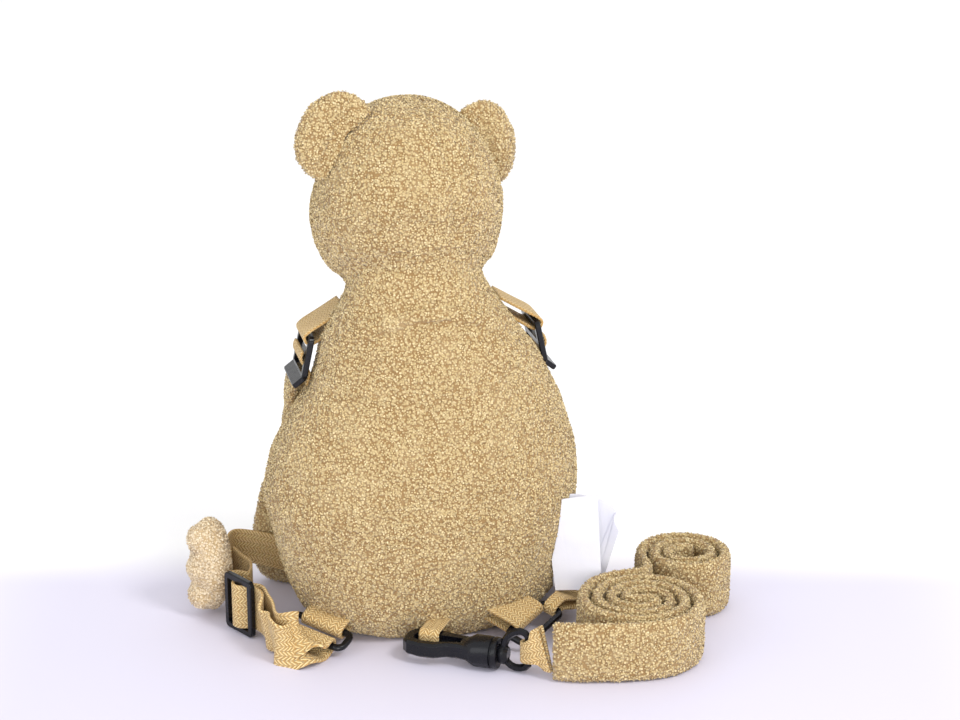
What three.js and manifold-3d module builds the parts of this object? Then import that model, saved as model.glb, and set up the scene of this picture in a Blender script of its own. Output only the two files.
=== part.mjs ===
// Toddler harness backpack: a stuffed bear with a pocket in its back, two padded arms as shoulder straps,
// webbing belts with sliders and rings, and a padded lead with a swivel hook, wound in two coils.
// Millimetres. +Z is up, the bear's back faces -Y and its belly +Y. The origin is under the middle of the seat.
import * as THREE from 'three';
import { mergeVertices } from 'three/addons/utils/BufferGeometryUtils.js';
import Module from 'manifold-3d';

const wasm = await Module();
wasm.setup();

// Driving sizes
const BODY_HEIGHT = 193;       // floor to the neck, at the sides
const BODY_HALF_WIDTH = 86;
const BODY_BACK_DEPTH = 54;    // from the middle plane to the back
const BODY_BELLY_DEPTH = 43;   // from the middle plane to the belly
const HEAD_HEIGHT = 92;        // neck to crown
const HEAD_HALF_WIDTH = 50.5;
const HEAD_BACK_DEPTH = 45;
const HEAD_FACE_DEPTH = 46;
const HEAD_FORWARD = 9;        // how far the head leans towards the face
const HEAD_SIDEWAYS = -5;      // and how far it leans to its left
const HEAD_TURN = 10;          // degrees that the face turns to the bear's left
const NECK_SLOPE = 0.46;       // fall of the neck seam from nape to throat
const GAP = 0.35;              // clearance between pieces that touch
const SEAM_DIP = 1.6;          // valley at the side seams
const POCKET_WALL = 5;         // plush and backing over the pocket
const POCKET_WIDTH = 76;       // mouth of the pocket along the arch
const POCKET_ARCH_HEIGHT = 182;
const POCKET_ARCH_DROP = 13;   // how far the mouth falls at its ends
const MOUTH_HEIGHT = 6;
const WELT_HEIGHT = 9;
const WELT_THICKNESS = 2.8;
const EAR_LENGTH = 44;         // along its seam with the head
const EAR_HEIGHT = 29;
const EAR_THICKNESS = 13;
const ARM_WIDTH = 50;
const ARM_THICKNESS = 13;
const ARM_TOP = 134;           // height of the arm's upper end
const ARM_OUT = 64;            // from the middle plane to the arm's middle
const ARM_REACH = 63;          // how far the arm stands in front of the body's middle
const PAW_HEIGHT = 54;
const PAW_LENGTH = 33;
const PAW_THICKNESS = 23;
const WEBBING_WIDTH = 25;
const WEBBING_THICKNESS = 1.5;
const BAR = 3.2;               // thickness of the plastic bars
const LOCK_HEIGHT = 24;
const LOCK_RISE = 16;          // from an arm's upper end to the middle of its ladder lock
const LOCK_MIDDLE = ARM_TOP + LOCK_RISE;
const SLIDER_LENGTH = 24;
const RING_WIDTH = 16;
const HOOK_LENGTH = 52;
const HOOK_WIDTH = 20;
const HOOK_THICKNESS = 8;
const BARREL_DIAMETER = 17;
const LEASH_WIDTH = 33;
const LEASH_THICKNESS = 7;
const LEASH_LAYER_GAP = 0.6;
const COIL_ONE_RADIUS = 34;    // to the middle of the outer turn
const COIL_ONE_TURNS = 1.7;
const COIL_TWO_RADIUS = 25.5;
const COIL_TWO_TURNS = 2.4;
const LABEL_THICKNESS = 0.9;
const LABEL_HEIGHT = 52;

// Colours and finishes
const FINISH = {
  plush: { color: 0xc9ac78, roughness: 1.0, metalness: 0 },
  pale_plush: { color: 0xe6dccb, roughness: 1.0, metalness: 0 },
  webbing: { color: 0xd6b26c, roughness: 0.85, metalness: 0 },
  black_plastic: { color: 0x16171c, roughness: 0.3, metalness: 0 },
  zip_tape: { color: 0xb59660, roughness: 0.9, metalness: 0 },
  label: { color: 0xf3f2f4, roughness: 0.7, metalness: 0 },
};

const bag = new THREE.Group();

// Turns a closed geometry into a solid for cutting and joining
function solidOf(geometry) {
  const bare = geometry.clone();
  bare.deleteAttribute('normal');
  bare.deleteAttribute('uv');
  const merged = mergeVertices(bare, 1e-4);
  return new wasm.Manifold(new wasm.Mesh({
    numProp: 3,
    vertProperties: new Float32Array(merged.attributes.position.array),
    triVerts: new Uint32Array(merged.index.array),
  }));
}

function geometryOf(solid) {
  const mesh = solid.getMesh();
  const geometry = new THREE.BufferGeometry();
  geometry.setAttribute('position', new THREE.BufferAttribute(new Float32Array(mesh.vertProperties), 3));
  geometry.setIndex(new THREE.BufferAttribute(new Uint32Array(mesh.triVerts), 1));
  return geometry;
}

function add(name, shape, finish) {
  const geometry = shape.isBufferGeometry ? shape : geometryOf(shape);
  geometry.computeVertexNormals();
  const mesh = new THREE.Mesh(geometry, new THREE.MeshStandardMaterial(FINISH[finish]));
  mesh.name = name;
  bag.add(mesh);
  return mesh;
}

// A closed skin over rings of equally many points, with a fan over each end
function skin(rings) {
  const sides = rings[0].length;
  const points = rings.flat();
  const faces = [];
  for (let r = 0; r + 1 < rings.length; r += 1) {
    for (let s = 0; s < sides; s += 1) {
      const a = r * sides + s;
      const b = r * sides + (s + 1) % sides;
      faces.push(a, b, b + sides, a, b + sides, a + sides);
    }
  }
  for (const [first, forward] of [[0, false], [(rings.length - 1) * sides, true]]) {
    const middle = new THREE.Vector3();
    for (let s = 0; s < sides; s += 1) middle.addScaledVector(points[first + s], 1 / sides);
    points.push(middle);
    for (let s = 0; s < sides; s += 1) {
      const a = first + s;
      const b = first + (s + 1) % sides;
      faces.push(...(forward ? [a, b, points.length - 1] : [b, a, points.length - 1]));
    }
  }
  let volume = 0;
  for (let f = 0; f < faces.length; f += 3) {
    const [a, b, c] = [points[faces[f]], points[faces[f + 1]], points[faces[f + 2]]];
    volume += a.dot(b.clone().cross(c));
  }
  if (volume < 0) faces.reverse();
  const geometry = new THREE.BufferGeometry();
  geometry.setAttribute('position', new THREE.Float32BufferAttribute(points.flatMap((p) => [p.x, p.y, p.z]), 3));
  geometry.setIndex(faces);
  return geometry;
}

const rad = THREE.MathUtils.degToRad;

// A level ring, rounder or squarer by its power, deeper or flatter to each side of its middle
function levelRing({ x = 0, y = 0, z, half, back, front, power = 2, sides, slope = 0, dip = 0 }) {
  const ring = [];
  for (let s = 0; s < sides; s += 1) {
    const angle = (s / sides) * 2 * Math.PI;
    const [c, n] = [Math.cos(angle), Math.sin(angle)];
    const px = Math.sign(c) * Math.abs(c) ** (2 / power) * half;
    const py = Math.sign(n) * Math.abs(n) ** (2 / power) * (n < 0 ? back : front);
    const off = Math.min(angle, Math.abs(angle - Math.PI), 2 * Math.PI - angle);
    const pull = 1 - (dip / half) * Math.exp(-((off / rad(8)) ** 2));
    ring.push(new THREE.Vector3(x + px * pull, y + py * pull, z - slope * (y + py)));
  }
  return ring;
}

// Sections of the body from the seat to the neck, as shares of its driving sizes.
const BODY_SECTIONS = [
  { up: 0.000, half: 0.500, back: 0.63, belly: 0.62, side: 0.03, tilt: 0 },
  { up: 0.006, half: 0.600, back: 0.69, belly: 0.68, side: 0.03, tilt: 0 },
  { up: 0.025, half: 0.715, back: 0.76, belly: 0.75, side: 0.03, tilt: 0 },
  { up: 0.075, half: 0.825, back: 0.86, belly: 0.83, side: 0.02, tilt: 0 },
  { up: 0.135, half: 0.880, back: 0.92, belly: 0.90, side: 0.01, tilt: 0 },
  { up: 0.200, half: 0.915, back: 0.96, belly: 0.95, side: 0.00, tilt: 0 },
  { up: 0.280, half: 0.957, back: 0.99, belly: 0.99, side: 0.00, tilt: 0 },
  { up: 0.365, half: 0.998, back: 1.00, belly: 1.00, side: -0.01, tilt: 0 },
  { up: 0.440, half: 0.990, back: 0.98, belly: 0.98, side: 0.00, tilt: 0 },
  { up: 0.515, half: 0.955, back: 0.95, belly: 0.95, side: 0.01, tilt: 0 },
  { up: 0.585, half: 0.895, back: 0.91, belly: 0.90, side: 0.02, tilt: 0 },
  { up: 0.645, half: 0.835, back: 0.87, belly: 0.86, side: 0.04, tilt: 0 },
  { up: 0.705, half: 0.755, back: 0.82, belly: 0.81, side: 0.05, tilt: 0.1 },
  { up: 0.770, half: 0.690, back: 0.77, belly: 0.76, side: 0.03, tilt: 0.25 },
  { up: 0.835, half: 0.618, back: 0.71, belly: 0.72, side: -0.01, tilt: 0.45 },
  { up: 0.890, half: 0.540, back: 0.65, belly: 0.68, side: -0.03, tilt: 0.65 },
  { up: 0.940, half: 0.462, back: 0.59, belly: 0.64, side: -0.04, tilt: 0.85 },
  { up: 0.975, half: 0.418, back: 0.55, belly: 0.61, side: -0.04, tilt: 1 },
  { up: 1.000, half: 0.405, back: 0.53, belly: 0.60, side: -0.04, tilt: 1 },
];
const BODY_SIDES = 34;

function bodySkin(grow) {
  return skin(BODY_SECTIONS.map((s) => levelRing({
    x: s.side * BODY_HALF_WIDTH,
    y: 0,
    z: s.up * BODY_HEIGHT + (s.up === 0 ? -grow : 0),
    half: s.half * BODY_HALF_WIDTH + grow,
    back: s.back * BODY_BACK_DEPTH + grow,
    front: s.belly * BODY_BELLY_DEPTH + grow,
    power: 2.15,
    sides: BODY_SIDES,
    slope: s.tilt * NECK_SLOPE,
    dip: SEAM_DIP,
  })));
}

// The body's section at a height, without its tilt
function bodyAt(height) {
  const up = THREE.MathUtils.clamp(height / BODY_HEIGHT, 0, 1);
  const above = Math.max(1, BODY_SECTIONS.findIndex((s) => s.up >= up));
  const [low, high] = [BODY_SECTIONS[above - 1], BODY_SECTIONS[above]];
  const part = (up - low.up) / (high.up - low.up);
  const mix = (name) => low[name] + (high[name] - low[name]) * part;
  return {
    middle: mix('side') * BODY_HALF_WIDTH,
    half: mix('half') * BODY_HALF_WIDTH,
    back: mix('back') * BODY_BACK_DEPTH,
    slope: mix('tilt') * NECK_SLOPE,
  };
}

// The place on the back of the body at a distance from its middle and a height
function onBack(x, height) {
  let level = height;
  let y = 0;
  for (let pass = 0; pass < 6; pass += 1) {
    const s = bodyAt(level);
    const share = Math.min(0.98, Math.abs(x - s.middle) / s.half);
    y = -s.back * (1 - share ** 2.15) ** (1 / 2.15);
    level = height + s.slope * y;
  }
  return new THREE.Vector3(x, y, height);
}

// A band swept along a curve. Its section has its width along the given directions. Steps are equal in
// length, or one to each point given. Its width can vary from point to point.
function band({ points, across, profile, steps, byPoint = false, wide = points.map(() => 1) }) {
  const curve = new THREE.CatmullRomCurve3(points.map((p) => new THREE.Vector3(...p)), false, 'centripetal');
  const sides = new THREE.CatmullRomCurve3(across.map((p) => new THREE.Vector3(...p)), false, 'centripetal');
  const widths = new THREE.CatmullRomCurve3(wide.map((w) => new THREE.Vector3(w, 0, 0)));
  const rings = [];
  for (let i = 0; i <= steps; i += 1) {
    const t = byPoint ? i / steps : curve.getUtoTmapping(i / steps);
    const along = curve.getTangent(t).normalize();
    const side = sides.getPoint(t);
    side.addScaledVector(along, -side.dot(along)).normalize();
    const out = new THREE.Vector3().crossVectors(along, side);
    const middle = curve.getPoint(t);
    const width = widths.getPoint(t).x;
    rings.push(profile(i / steps).map(([u, v]) => middle.clone().addScaledVector(side, u * width).addScaledVector(out, v)));
  }
  return skin(rings);
}

const flatProfile = (width, thickness) => () => {
  const [w, t] = [width / 2, thickness / 2];
  return [[-w, -t], [w, -t], [w, t], [-w, t]];
};

const webbing = (points, across, steps, width = WEBBING_WIDTH) => band({
  points, across, steps, profile: flatProfile(width, WEBBING_THICKNESS),
});

// Body with its pocket
const grownBody = solidOf(bodySkin(GAP));
const CAVITY_SECTIONS = [
  { up: 0.14, half: 0.30, front: 2 },
  { up: 0.19, half: 0.48, front: 4 },
  { up: 0.30, half: 0.58, front: 5 },
  { up: 0.50, half: 0.60, front: 5 },
  { up: 0.68, half: 0.64, front: 5 },
  { up: 0.80, half: 0.68, front: 4 },
  { up: 0.900, half: 0.60, front: 2 },
];
const POCKET_FRONT = 12;       // how far the pocket's inner wall lies behind the body's middle
const cavity = skin(CAVITY_SECTIONS.map((s) => {
  const around = bodyAt(s.up * BODY_HEIGHT);
  return levelRing({
    x: around.middle,
    y: -POCKET_FRONT,
    z: s.up * BODY_HEIGHT,
    half: s.half * around.half,
    back: around.back * (1 - s.half ** 2 * 0.2) - POCKET_WALL - POCKET_FRONT,
    front: s.front,
    power: 2.4,
    sides: 24,
    slope: around.slope,
  });
}));

// The arch of the pocket's mouth, seen from behind, at a drop under the welt
const ARCH_STEPS = 12;
function archPoints(widthShare, lower, sink) {
  const points = [];
  for (let i = 0; i <= ARCH_STEPS; i += 1) {
    const share = (2 * i) / ARCH_STEPS - 1;
    const x = (share * widthShare * POCKET_WIDTH) / 2;
    const height = POCKET_ARCH_HEIGHT - lower - POCKET_ARCH_DROP * share ** 2;
    const spot = onBack(x, height);
    points.push([spot.x, spot.y + sink, spot.z]);
  }
  return points;
}
const upright = (count) => Array.from({ length: count }, () => [0, 0, 1]);

// The way that the back slopes along the arch
function archAcross(widthShare, lower) {
  const above = archPoints(widthShare, lower - 2, 0);
  const below = archPoints(widthShare, lower + 2, 0);
  return above.map((p, i) => p.map((value, axis) => value - below[i][axis]));
}

const MOUTH_DROP = 2;          // from the top of the arch to the middle of the mouth
function archBand(height, depth) {
  return solidOf(band({
    points: archPoints(1, MOUTH_DROP, POCKET_WALL * 0.65),
    across: upright(ARCH_STEPS + 1),
    steps: ARCH_STEPS + 6,
    profile: flatProfile(height, depth),
  }));
}
add('body', solidOf(bodySkin(0)).subtract(solidOf(cavity)).subtract(archBand(MOUTH_HEIGHT, POCKET_WALL * 2.6)), 'plush');
const between = solidOf(new THREE.BoxGeometry(POCKET_WIDTH - 3 * GAP, 4 * BODY_BACK_DEPTH, 4 * BODY_HEIGHT));
const zip = archBand(MOUTH_HEIGHT - 2 * GAP, POCKET_WALL * 0.5).intersect(between);
add('pocket_zip', zip.intersect(solidOf(bodySkin(-2 * GAP))), 'zip_tape');

const weltProfile = (t) => {
  const fade = Math.min(1, 0.35 + 6 * Math.min(t, 1 - t));
  const [w, d] = [(WELT_HEIGHT / 2) * fade, (WELT_THICKNESS / 2) * (0.6 + 0.4 * fade)];
  return [[-w, -d], [w, -d], [w * 1.05, 0], [w * 0.7, d], [-w * 0.5, d * 0.8], [-w, 0]];
};
add('pocket_welt', solidOf(band({
  points: archPoints(1.24, MOUTH_DROP, -WELT_THICKNESS * 0.22),
  across: archAcross(1.24, MOUTH_DROP),
  steps: ARCH_STEPS + 6,
  profile: weltProfile,
})).subtract(grownBody), 'plush');

// Head, which leans towards the face and turns a little to its left
const HEAD_SECTIONS = [
  { up: 0.000, half: 0.690, back: 0.635, face: 0.56, lean: 0.00 },
  { up: 0.020, half: 0.765, back: 0.700, face: 0.66, lean: 0.10 },
  { up: 0.060, half: 0.830, back: 0.770, face: 0.76, lean: 0.30 },
  { up: 0.120, half: 0.890, back: 0.850, face: 0.86, lean: 0.60 },
  { up: 0.250, half: 0.972, back: 0.950, face: 0.96, lean: 1.00 },
  { up: 0.350, half: 1.000, back: 1.000, face: 1.00, lean: 1.00 },
  { up: 0.450, half: 0.985, back: 1.000, face: 0.98, lean: 1.00 },
  { up: 0.550, half: 0.935, back: 0.970, face: 0.93, lean: 1.00 },
  { up: 0.640, half: 0.875, back: 0.910, face: 0.86, lean: 1.00 },
  { up: 0.730, half: 0.800, back: 0.830, face: 0.77, lean: 1.00 },
  { up: 0.810, half: 0.700, back: 0.730, face: 0.67, lean: 1.00 },
  { up: 0.890, half: 0.560, back: 0.590, face: 0.54, lean: 1.00 },
  { up: 0.950, half: 0.390, back: 0.410, face: 0.38, lean: 1.00 },
  { up: 0.985, half: 0.220, back: 0.230, face: 0.21, lean: 1.00 },
  { up: 1.000, half: 0.070, back: 0.070, face: 0.07, lean: 1.00 },
];
const NECK = bodyAt(BODY_HEIGHT);
const HEAD_SIDES = 28;

function headSkin(grow) {
  return skin(HEAD_SECTIONS.map((s, i) => levelRing({
    x: NECK.middle + (HEAD_SIDEWAYS - NECK.middle) * s.lean,
    y: HEAD_FORWARD * s.lean,
    z: BODY_HEIGHT + GAP + s.up * HEAD_HEIGHT + (i === 0 ? -grow : grow * s.up),
    half: s.half * HEAD_HALF_WIDTH + grow,
    back: s.back * HEAD_BACK_DEPTH + grow,
    front: s.face * HEAD_FACE_DEPTH + grow,
    power: 2.1,
    sides: HEAD_SIDES,
    slope: NECK_SLOPE * Math.max(0, 1 - s.up / 0.7),
  })));
}
const grownHead = solidOf(headSkin(GAP));
add('head', headSkin(0), 'plush');

// A place on or in the head: across it, towards the face and up, turned as the head is
const turned = (x, y) => [
  x * Math.cos(rad(HEAD_TURN)) - y * Math.sin(rad(HEAD_TURN)),
  x * Math.sin(rad(HEAD_TURN)) + y * Math.cos(rad(HEAD_TURN)),
];
function inHead(across, face, up) {
  const [x, y] = turned(across * HEAD_HALF_WIDTH, face * HEAD_FACE_DEPTH);
  return new THREE.Vector3(HEAD_SIDEWAYS + x, HEAD_FORWARD + y, BODY_HEIGHT + up * HEAD_HEIGHT);
}

function egg(place, width, depth, height, across = 16, around = 10) {
  const shape = new THREE.SphereGeometry(1, across, around);
  shape.scale(width / 2, depth / 2, height / 2);
  shape.rotateZ(rad(HEAD_TURN));
  shape.translate(place.x, place.y, place.z);
  return solidOf(shape);
}
const MUZZLE = { width: 50, depth: 44, height: 36 };
const muzzleAt = inHead(0, 0.98, 0.27);
const muzzle = egg(muzzleAt, MUZZLE.width, MUZZLE.depth, MUZZLE.height);
const grownMuzzle = egg(muzzleAt, MUZZLE.width + 3 * GAP, MUZZLE.depth + 3 * GAP, MUZZLE.height + 3 * GAP);
add('muzzle', muzzle.subtract(grownHead), 'pale_plush');
const NOSE = { width: 17, depth: 11, height: 12 };
const noseAt = inHead(0, 1.36, 0.385);
add('nose', egg(noseAt, NOSE.width, NOSE.depth, NOSE.height, 14, 9).subtract(grownMuzzle).subtract(grownHead), 'black_plastic');
const EYE_WIDTH = 11;
for (const [name, side] of [['eye_left', -1], ['eye_right', 1]]) {
  const eye = egg(inHead(side * 0.36, 0.86, 0.52), EYE_WIDTH, EYE_WIDTH, EYE_WIDTH, 14, 9);
  add(name, eye.subtract(grownHead), 'black_plastic');
}

// Ears: pillows with a fold across the back, seated on the head. A row lies at a share of the height.
const EAR_SECTIONS = [
  { out: -0.35, half: 0.44, back: 0.60, front: 0.60, curl: 0.00 },
  { out: 0.00, half: 0.50, back: 0.85, front: 0.85, curl: 0.00 },
  { out: 0.20, half: 0.54, back: 0.80, front: 0.80, curl: 0.02 },
  { out: 0.38, half: 0.555, back: 0.45, front: 0.60, curl: 0.06 },
  { out: 0.56, half: 0.535, back: 0.75, front: 0.55, curl: 0.13 },
  { out: 0.74, half: 0.465, back: 0.88, front: 0.60, curl: 0.24 },
  { out: 0.88, half: 0.350, back: 0.70, front: 0.60, curl: 0.35 },
  { out: 0.97, half: 0.200, back: 0.40, front: 0.40, curl: 0.44 },
  { out: 1.00, half: 0.070, back: 0.15, front: 0.15, curl: 0.48 },
];
const EAR_SIDES = 14;
const EARS = [
  { name: 'ear_left', side: -1, across: 0.62, face: -0.10, up: 0.765, lean: 60 },
  { name: 'ear_right', side: 1, across: 0.68, face: -0.02, up: 0.655, lean: 72 },
];
for (const ear of EARS) {
  const root = inHead(ear.side * ear.across, ear.face, ear.up);
  const [ox, oy] = turned(ear.side * Math.sin(rad(ear.lean)), 0);
  const out = new THREE.Vector3(ox, oy, Math.cos(rad(ear.lean)));
  const [bx, by] = turned(0, -1);
  const back = new THREE.Vector3(bx, by, 0);
  const along = new THREE.Vector3().crossVectors(out, back);
  const rings = EAR_SECTIONS.map((s) => {
    const middle = root.clone().addScaledVector(out, s.out * EAR_HEIGHT);
    middle.addScaledVector(back, -s.curl * EAR_THICKNESS);
    return Array.from({ length: EAR_SIDES }, (_, i) => {
      const angle = (i / EAR_SIDES) * 2 * Math.PI;
      const deep = Math.sin(angle) * (Math.sin(angle) > 0 ? s.back : s.front) * (EAR_THICKNESS / 2);
      return middle.clone()
        .addScaledVector(along, Math.cos(angle) * s.half * EAR_LENGTH)
        .addScaledVector(back, deep);
    });
  });
  add(ear.name, solidOf(skin(rings)).subtract(grownHead), 'plush');
}

// Arms: padded straps that leave the shoulders outwards and stand in front of the belly
const ARM_SECTIONS = [
  { up: 0.996, out: 1.03, reach: 0.25, wide: 0.52, thick: 0.37, turn: 4 },
  { up: 0.930, out: 1.03, reach: 0.44, wide: 0.64, thick: 0.52, turn: 10 },
  { up: 0.830, out: 0.97, reach: 0.68, wide: 0.78, thick: 0.77, turn: 24 },
  { up: 0.700, out: 0.89, reach: 0.87, wide: 0.92, thick: 0.95, turn: 42 },
  { up: 0.555, out: 0.84, reach: 0.98, wide: 0.98, thick: 1.00, turn: 62 },
  { up: 0.410, out: 0.87, reach: 1.00, wide: 1.00, thick: 1.00, turn: 82 },
  { up: 0.277, out: 0.93, reach: 0.96, wide: 1.00, thick: 1.00, turn: 98 },
  { up: 0.160, out: 0.97, reach: 0.90, wide: 1.00, thick: 1.00, turn: 108 },
  { up: 0.080, out: 0.985, reach: 0.87, wide: 0.98, thick: 0.96, turn: 114 },
  { up: 0.030, out: 0.985, reach: 0.86, wide: 0.86, thick: 0.80, turn: 116 },
  { up: 0.004, out: 0.985, reach: 0.86, wide: 0.66, thick: 0.50, turn: 116 },
];
const ARM_SIDES = 12;
const armPlace = (row, side) => new THREE.Vector3(side * row.out * ARM_OUT, row.reach * ARM_REACH, row.up * ARM_TOP);
// The way across an arm, from its inner to its outer edge
const armAcross = (turn, side) => new THREE.Vector3(side * Math.sin(rad(turn)), -Math.cos(rad(turn)), 0);

function armSkin(side) {
  const rings = ARM_SECTIONS.map((row, r) => {
    const before = armPlace(ARM_SECTIONS[Math.max(0, r - 1)], side);
    const after = armPlace(ARM_SECTIONS[Math.min(ARM_SECTIONS.length - 1, r + 1)], side);
    const along = after.sub(before).normalize();
    const wide = armAcross(row.turn, side);
    wide.addScaledVector(along, -wide.dot(along)).normalize();
    const deep = new THREE.Vector3().crossVectors(along, wide);
    const level = r === 0 || r >= ARM_SECTIONS.length - 3;
    return Array.from({ length: ARM_SIDES }, (_, i) => {
      const angle = (i / ARM_SIDES) * 2 * Math.PI;
      const [c, n] = [Math.cos(angle), Math.sin(angle)];
      const point = armPlace(row, side)
        .addScaledVector(wide, Math.sign(c) * Math.abs(c) ** 0.8 * row.wide * (ARM_WIDTH / 2))
        .addScaledVector(deep, Math.sign(n) * Math.abs(n) ** 0.9 * row.thick * (ARM_THICKNESS / 2));
      if (level) point.z = row.up * ARM_TOP;
      return point;
    });
  });
  return skin(rings);
}
const arms = { left: solidOf(armSkin(-1)).subtract(grownBody), right: solidOf(armSkin(1)).subtract(grownBody) };

// A flat piece of plastic: an outline with its edges broken, less its holes, laid on two directions
function plate({ outline, holes = [], thickness, edge = 0.5, place, across, along }) {
  const extruded = (shape, depth, bevel) => {
    const geometry = new THREE.ExtrudeGeometry(shape, {
      depth, curveSegments: 2, bevelEnabled: bevel > 0, bevelThickness: bevel, bevelSize: bevel, bevelOffset: -bevel, bevelSegments: 1,
    });
    geometry.translate(0, 0, -depth / 2);
    return solidOf(geometry);
  };
  let solid = extruded(outline, thickness - 2 * edge, edge);
  for (const hole of holes) solid = solid.subtract(extruded(hole, 2 * thickness, 0));
  const [x, y] = [across.clone().normalize(), along.clone()];
  y.addScaledVector(x, -y.dot(x)).normalize();
  const laid = new THREE.Matrix4().makeBasis(x, y, new THREE.Vector3().crossVectors(x, y)).setPosition(place);
  return solid.transform(laid.elements);
}

function roundedBox(width, height, radius, middle = 0) {
  const [w, h] = [width / 2, height / 2];
  const shape = new THREE.Shape();
  shape.absarc(w - radius, middle - h + radius, radius, -Math.PI / 2, 0);
  shape.absarc(w - radius, middle + h - radius, radius, 0, Math.PI / 2);
  shape.absarc(-w + radius, middle + h - radius, radius, Math.PI / 2, Math.PI);
  shape.absarc(-w + radius, middle - h + radius, radius, Math.PI, 1.5 * Math.PI);
  return shape;
}

function box(width, height, middle = 0) {
  const [w, h] = [width / 2, height / 2];
  return new THREE.Shape([[-w, -h], [w, -h], [w, h], [-w, h]].map(([x, y]) => new THREE.Vector2(x, middle + y)));
}

// A frame with three bars and two slots for webbing, as the sliders and the ladder locks have
const SLOT_WIDTH = WEBBING_WIDTH + 0.8;
function threeBars(length, place, across, along) {
  const slot = (length - 3 * BAR) / 2;
  const step = (slot + BAR) / 2;
  return plate({
    outline: roundedBox(SLOT_WIDTH + 2 * BAR, length, 3),
    holes: [box(SLOT_WIDTH, slot, -step), box(SLOT_WIDTH, slot, step)],
    thickness: BAR,
    place,
    across,
    along,
  });
}

const vector = (x, y, z) => new THREE.Vector3(x, y, z);
const UP = vector(0, 0, 1);
const listed = (v) => [v.x, v.y, v.z];
// Half the way round a bar: from the bar's middle to the middle of the webbing on it
const WRAP = BAR * 0.65 + GAP + WEBBING_THICKNESS / 2;

// Webbing sewn into a seam, laid round a bar and back into the seam
function seamLoop({ bar, away, up, across, reach, width = WEBBING_WIDTH }) {
  const at = (out, over) => listed(bar.clone().addScaledVector(away, out).addScaledVector(up, over));
  const points = [
    at(-reach, WRAP), at(-reach / 2, WRAP), at(0, WRAP), at(WRAP * 0.75, WRAP * 0.72), at(WRAP, 0),
    at(WRAP * 0.75, -WRAP * 0.72), at(0, -WRAP), at(-reach / 2, -WRAP), at(-reach, -WRAP),
  ];
  return solidOf(webbing(points, points.map(() => listed(across)), 20, width)).subtract(grownBody);
}

// Shoulders: a tab, a ladder lock and the webbing that comes up from the arm
const LOCKS = [                // off: from the body's side, level with the lock's lower end, to its middle
  { side: -1, name: 'left', off: 0.6, reach: 15 },
  { side: 1, name: 'right', off: -2.1, reach: 15 },
];
const beside = bodyAt(LOCK_MIDDLE - LOCK_HEIGHT / 2);
const LOCK_LEAN = 12;          // degrees that a lock leans in over the shoulder
const LOCK_BAR_STEP = (LOCK_HEIGHT - BAR) / 2;
for (const lock of LOCKS) {
  const place = vector(beside.middle + lock.side * (beside.half + lock.off), lock.reach, LOCK_MIDDLE);
  const down = vector(lock.side * Math.sin(rad(LOCK_LEAN)), 0, -Math.cos(rad(LOCK_LEAN)));
  const outward = vector(lock.side * Math.cos(rad(LOCK_LEAN)), 0, Math.sin(rad(LOCK_LEAN)));
  const across = vector(0, 1, 0);
  const at = (s, n) => place.clone().addScaledVector(down, s).addScaledVector(outward, n);
  const frame = threeBars(LOCK_HEIGHT, place, across, down);
  const lip = plate({
    outline: roundedBox(SLOT_WIDTH + 2 * BAR, 8, 1.4),
    thickness: BAR * 0.9,
    place: at(LOCK_HEIGHT / 2 + 1.2, 2.2),
    across,
    along: down.clone().addScaledVector(outward, 0.85),
  });
  add(`ladder_lock_${lock.name}`, frame.add(lip), 'black_plastic');
  const outOfSeam = vector(lock.side * 0.86, -0.05, -0.5).normalize();
  add(`shoulder_tab_${lock.name}`, seamLoop({
    bar: at(-LOCK_BAR_STEP, 0),
    away: outOfSeam,
    up: vector(lock.side * 0.5, 0, 0.86).normalize(),
    across,
    reach: 24,
  }), 'webbing');
  const toArm = [
    at(-2.6, 2.7), at(0, 3.1), at(2.4, 2.6), at(5.2, 0), at(8, -2.6), at(LOCK_BAR_STEP, -3), at(15.5, -2.8),
  ];
  toArm[6].setZ(ARM_SECTIONS[0].up * ARM_TOP + 3 * GAP);
  add(`shoulder_webbing_${lock.name}`, solidOf(webbing(toArm.map(listed), toArm.map(() => [0, 1, 0]), 14)).subtract(grownBody), 'webbing');
}

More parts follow.
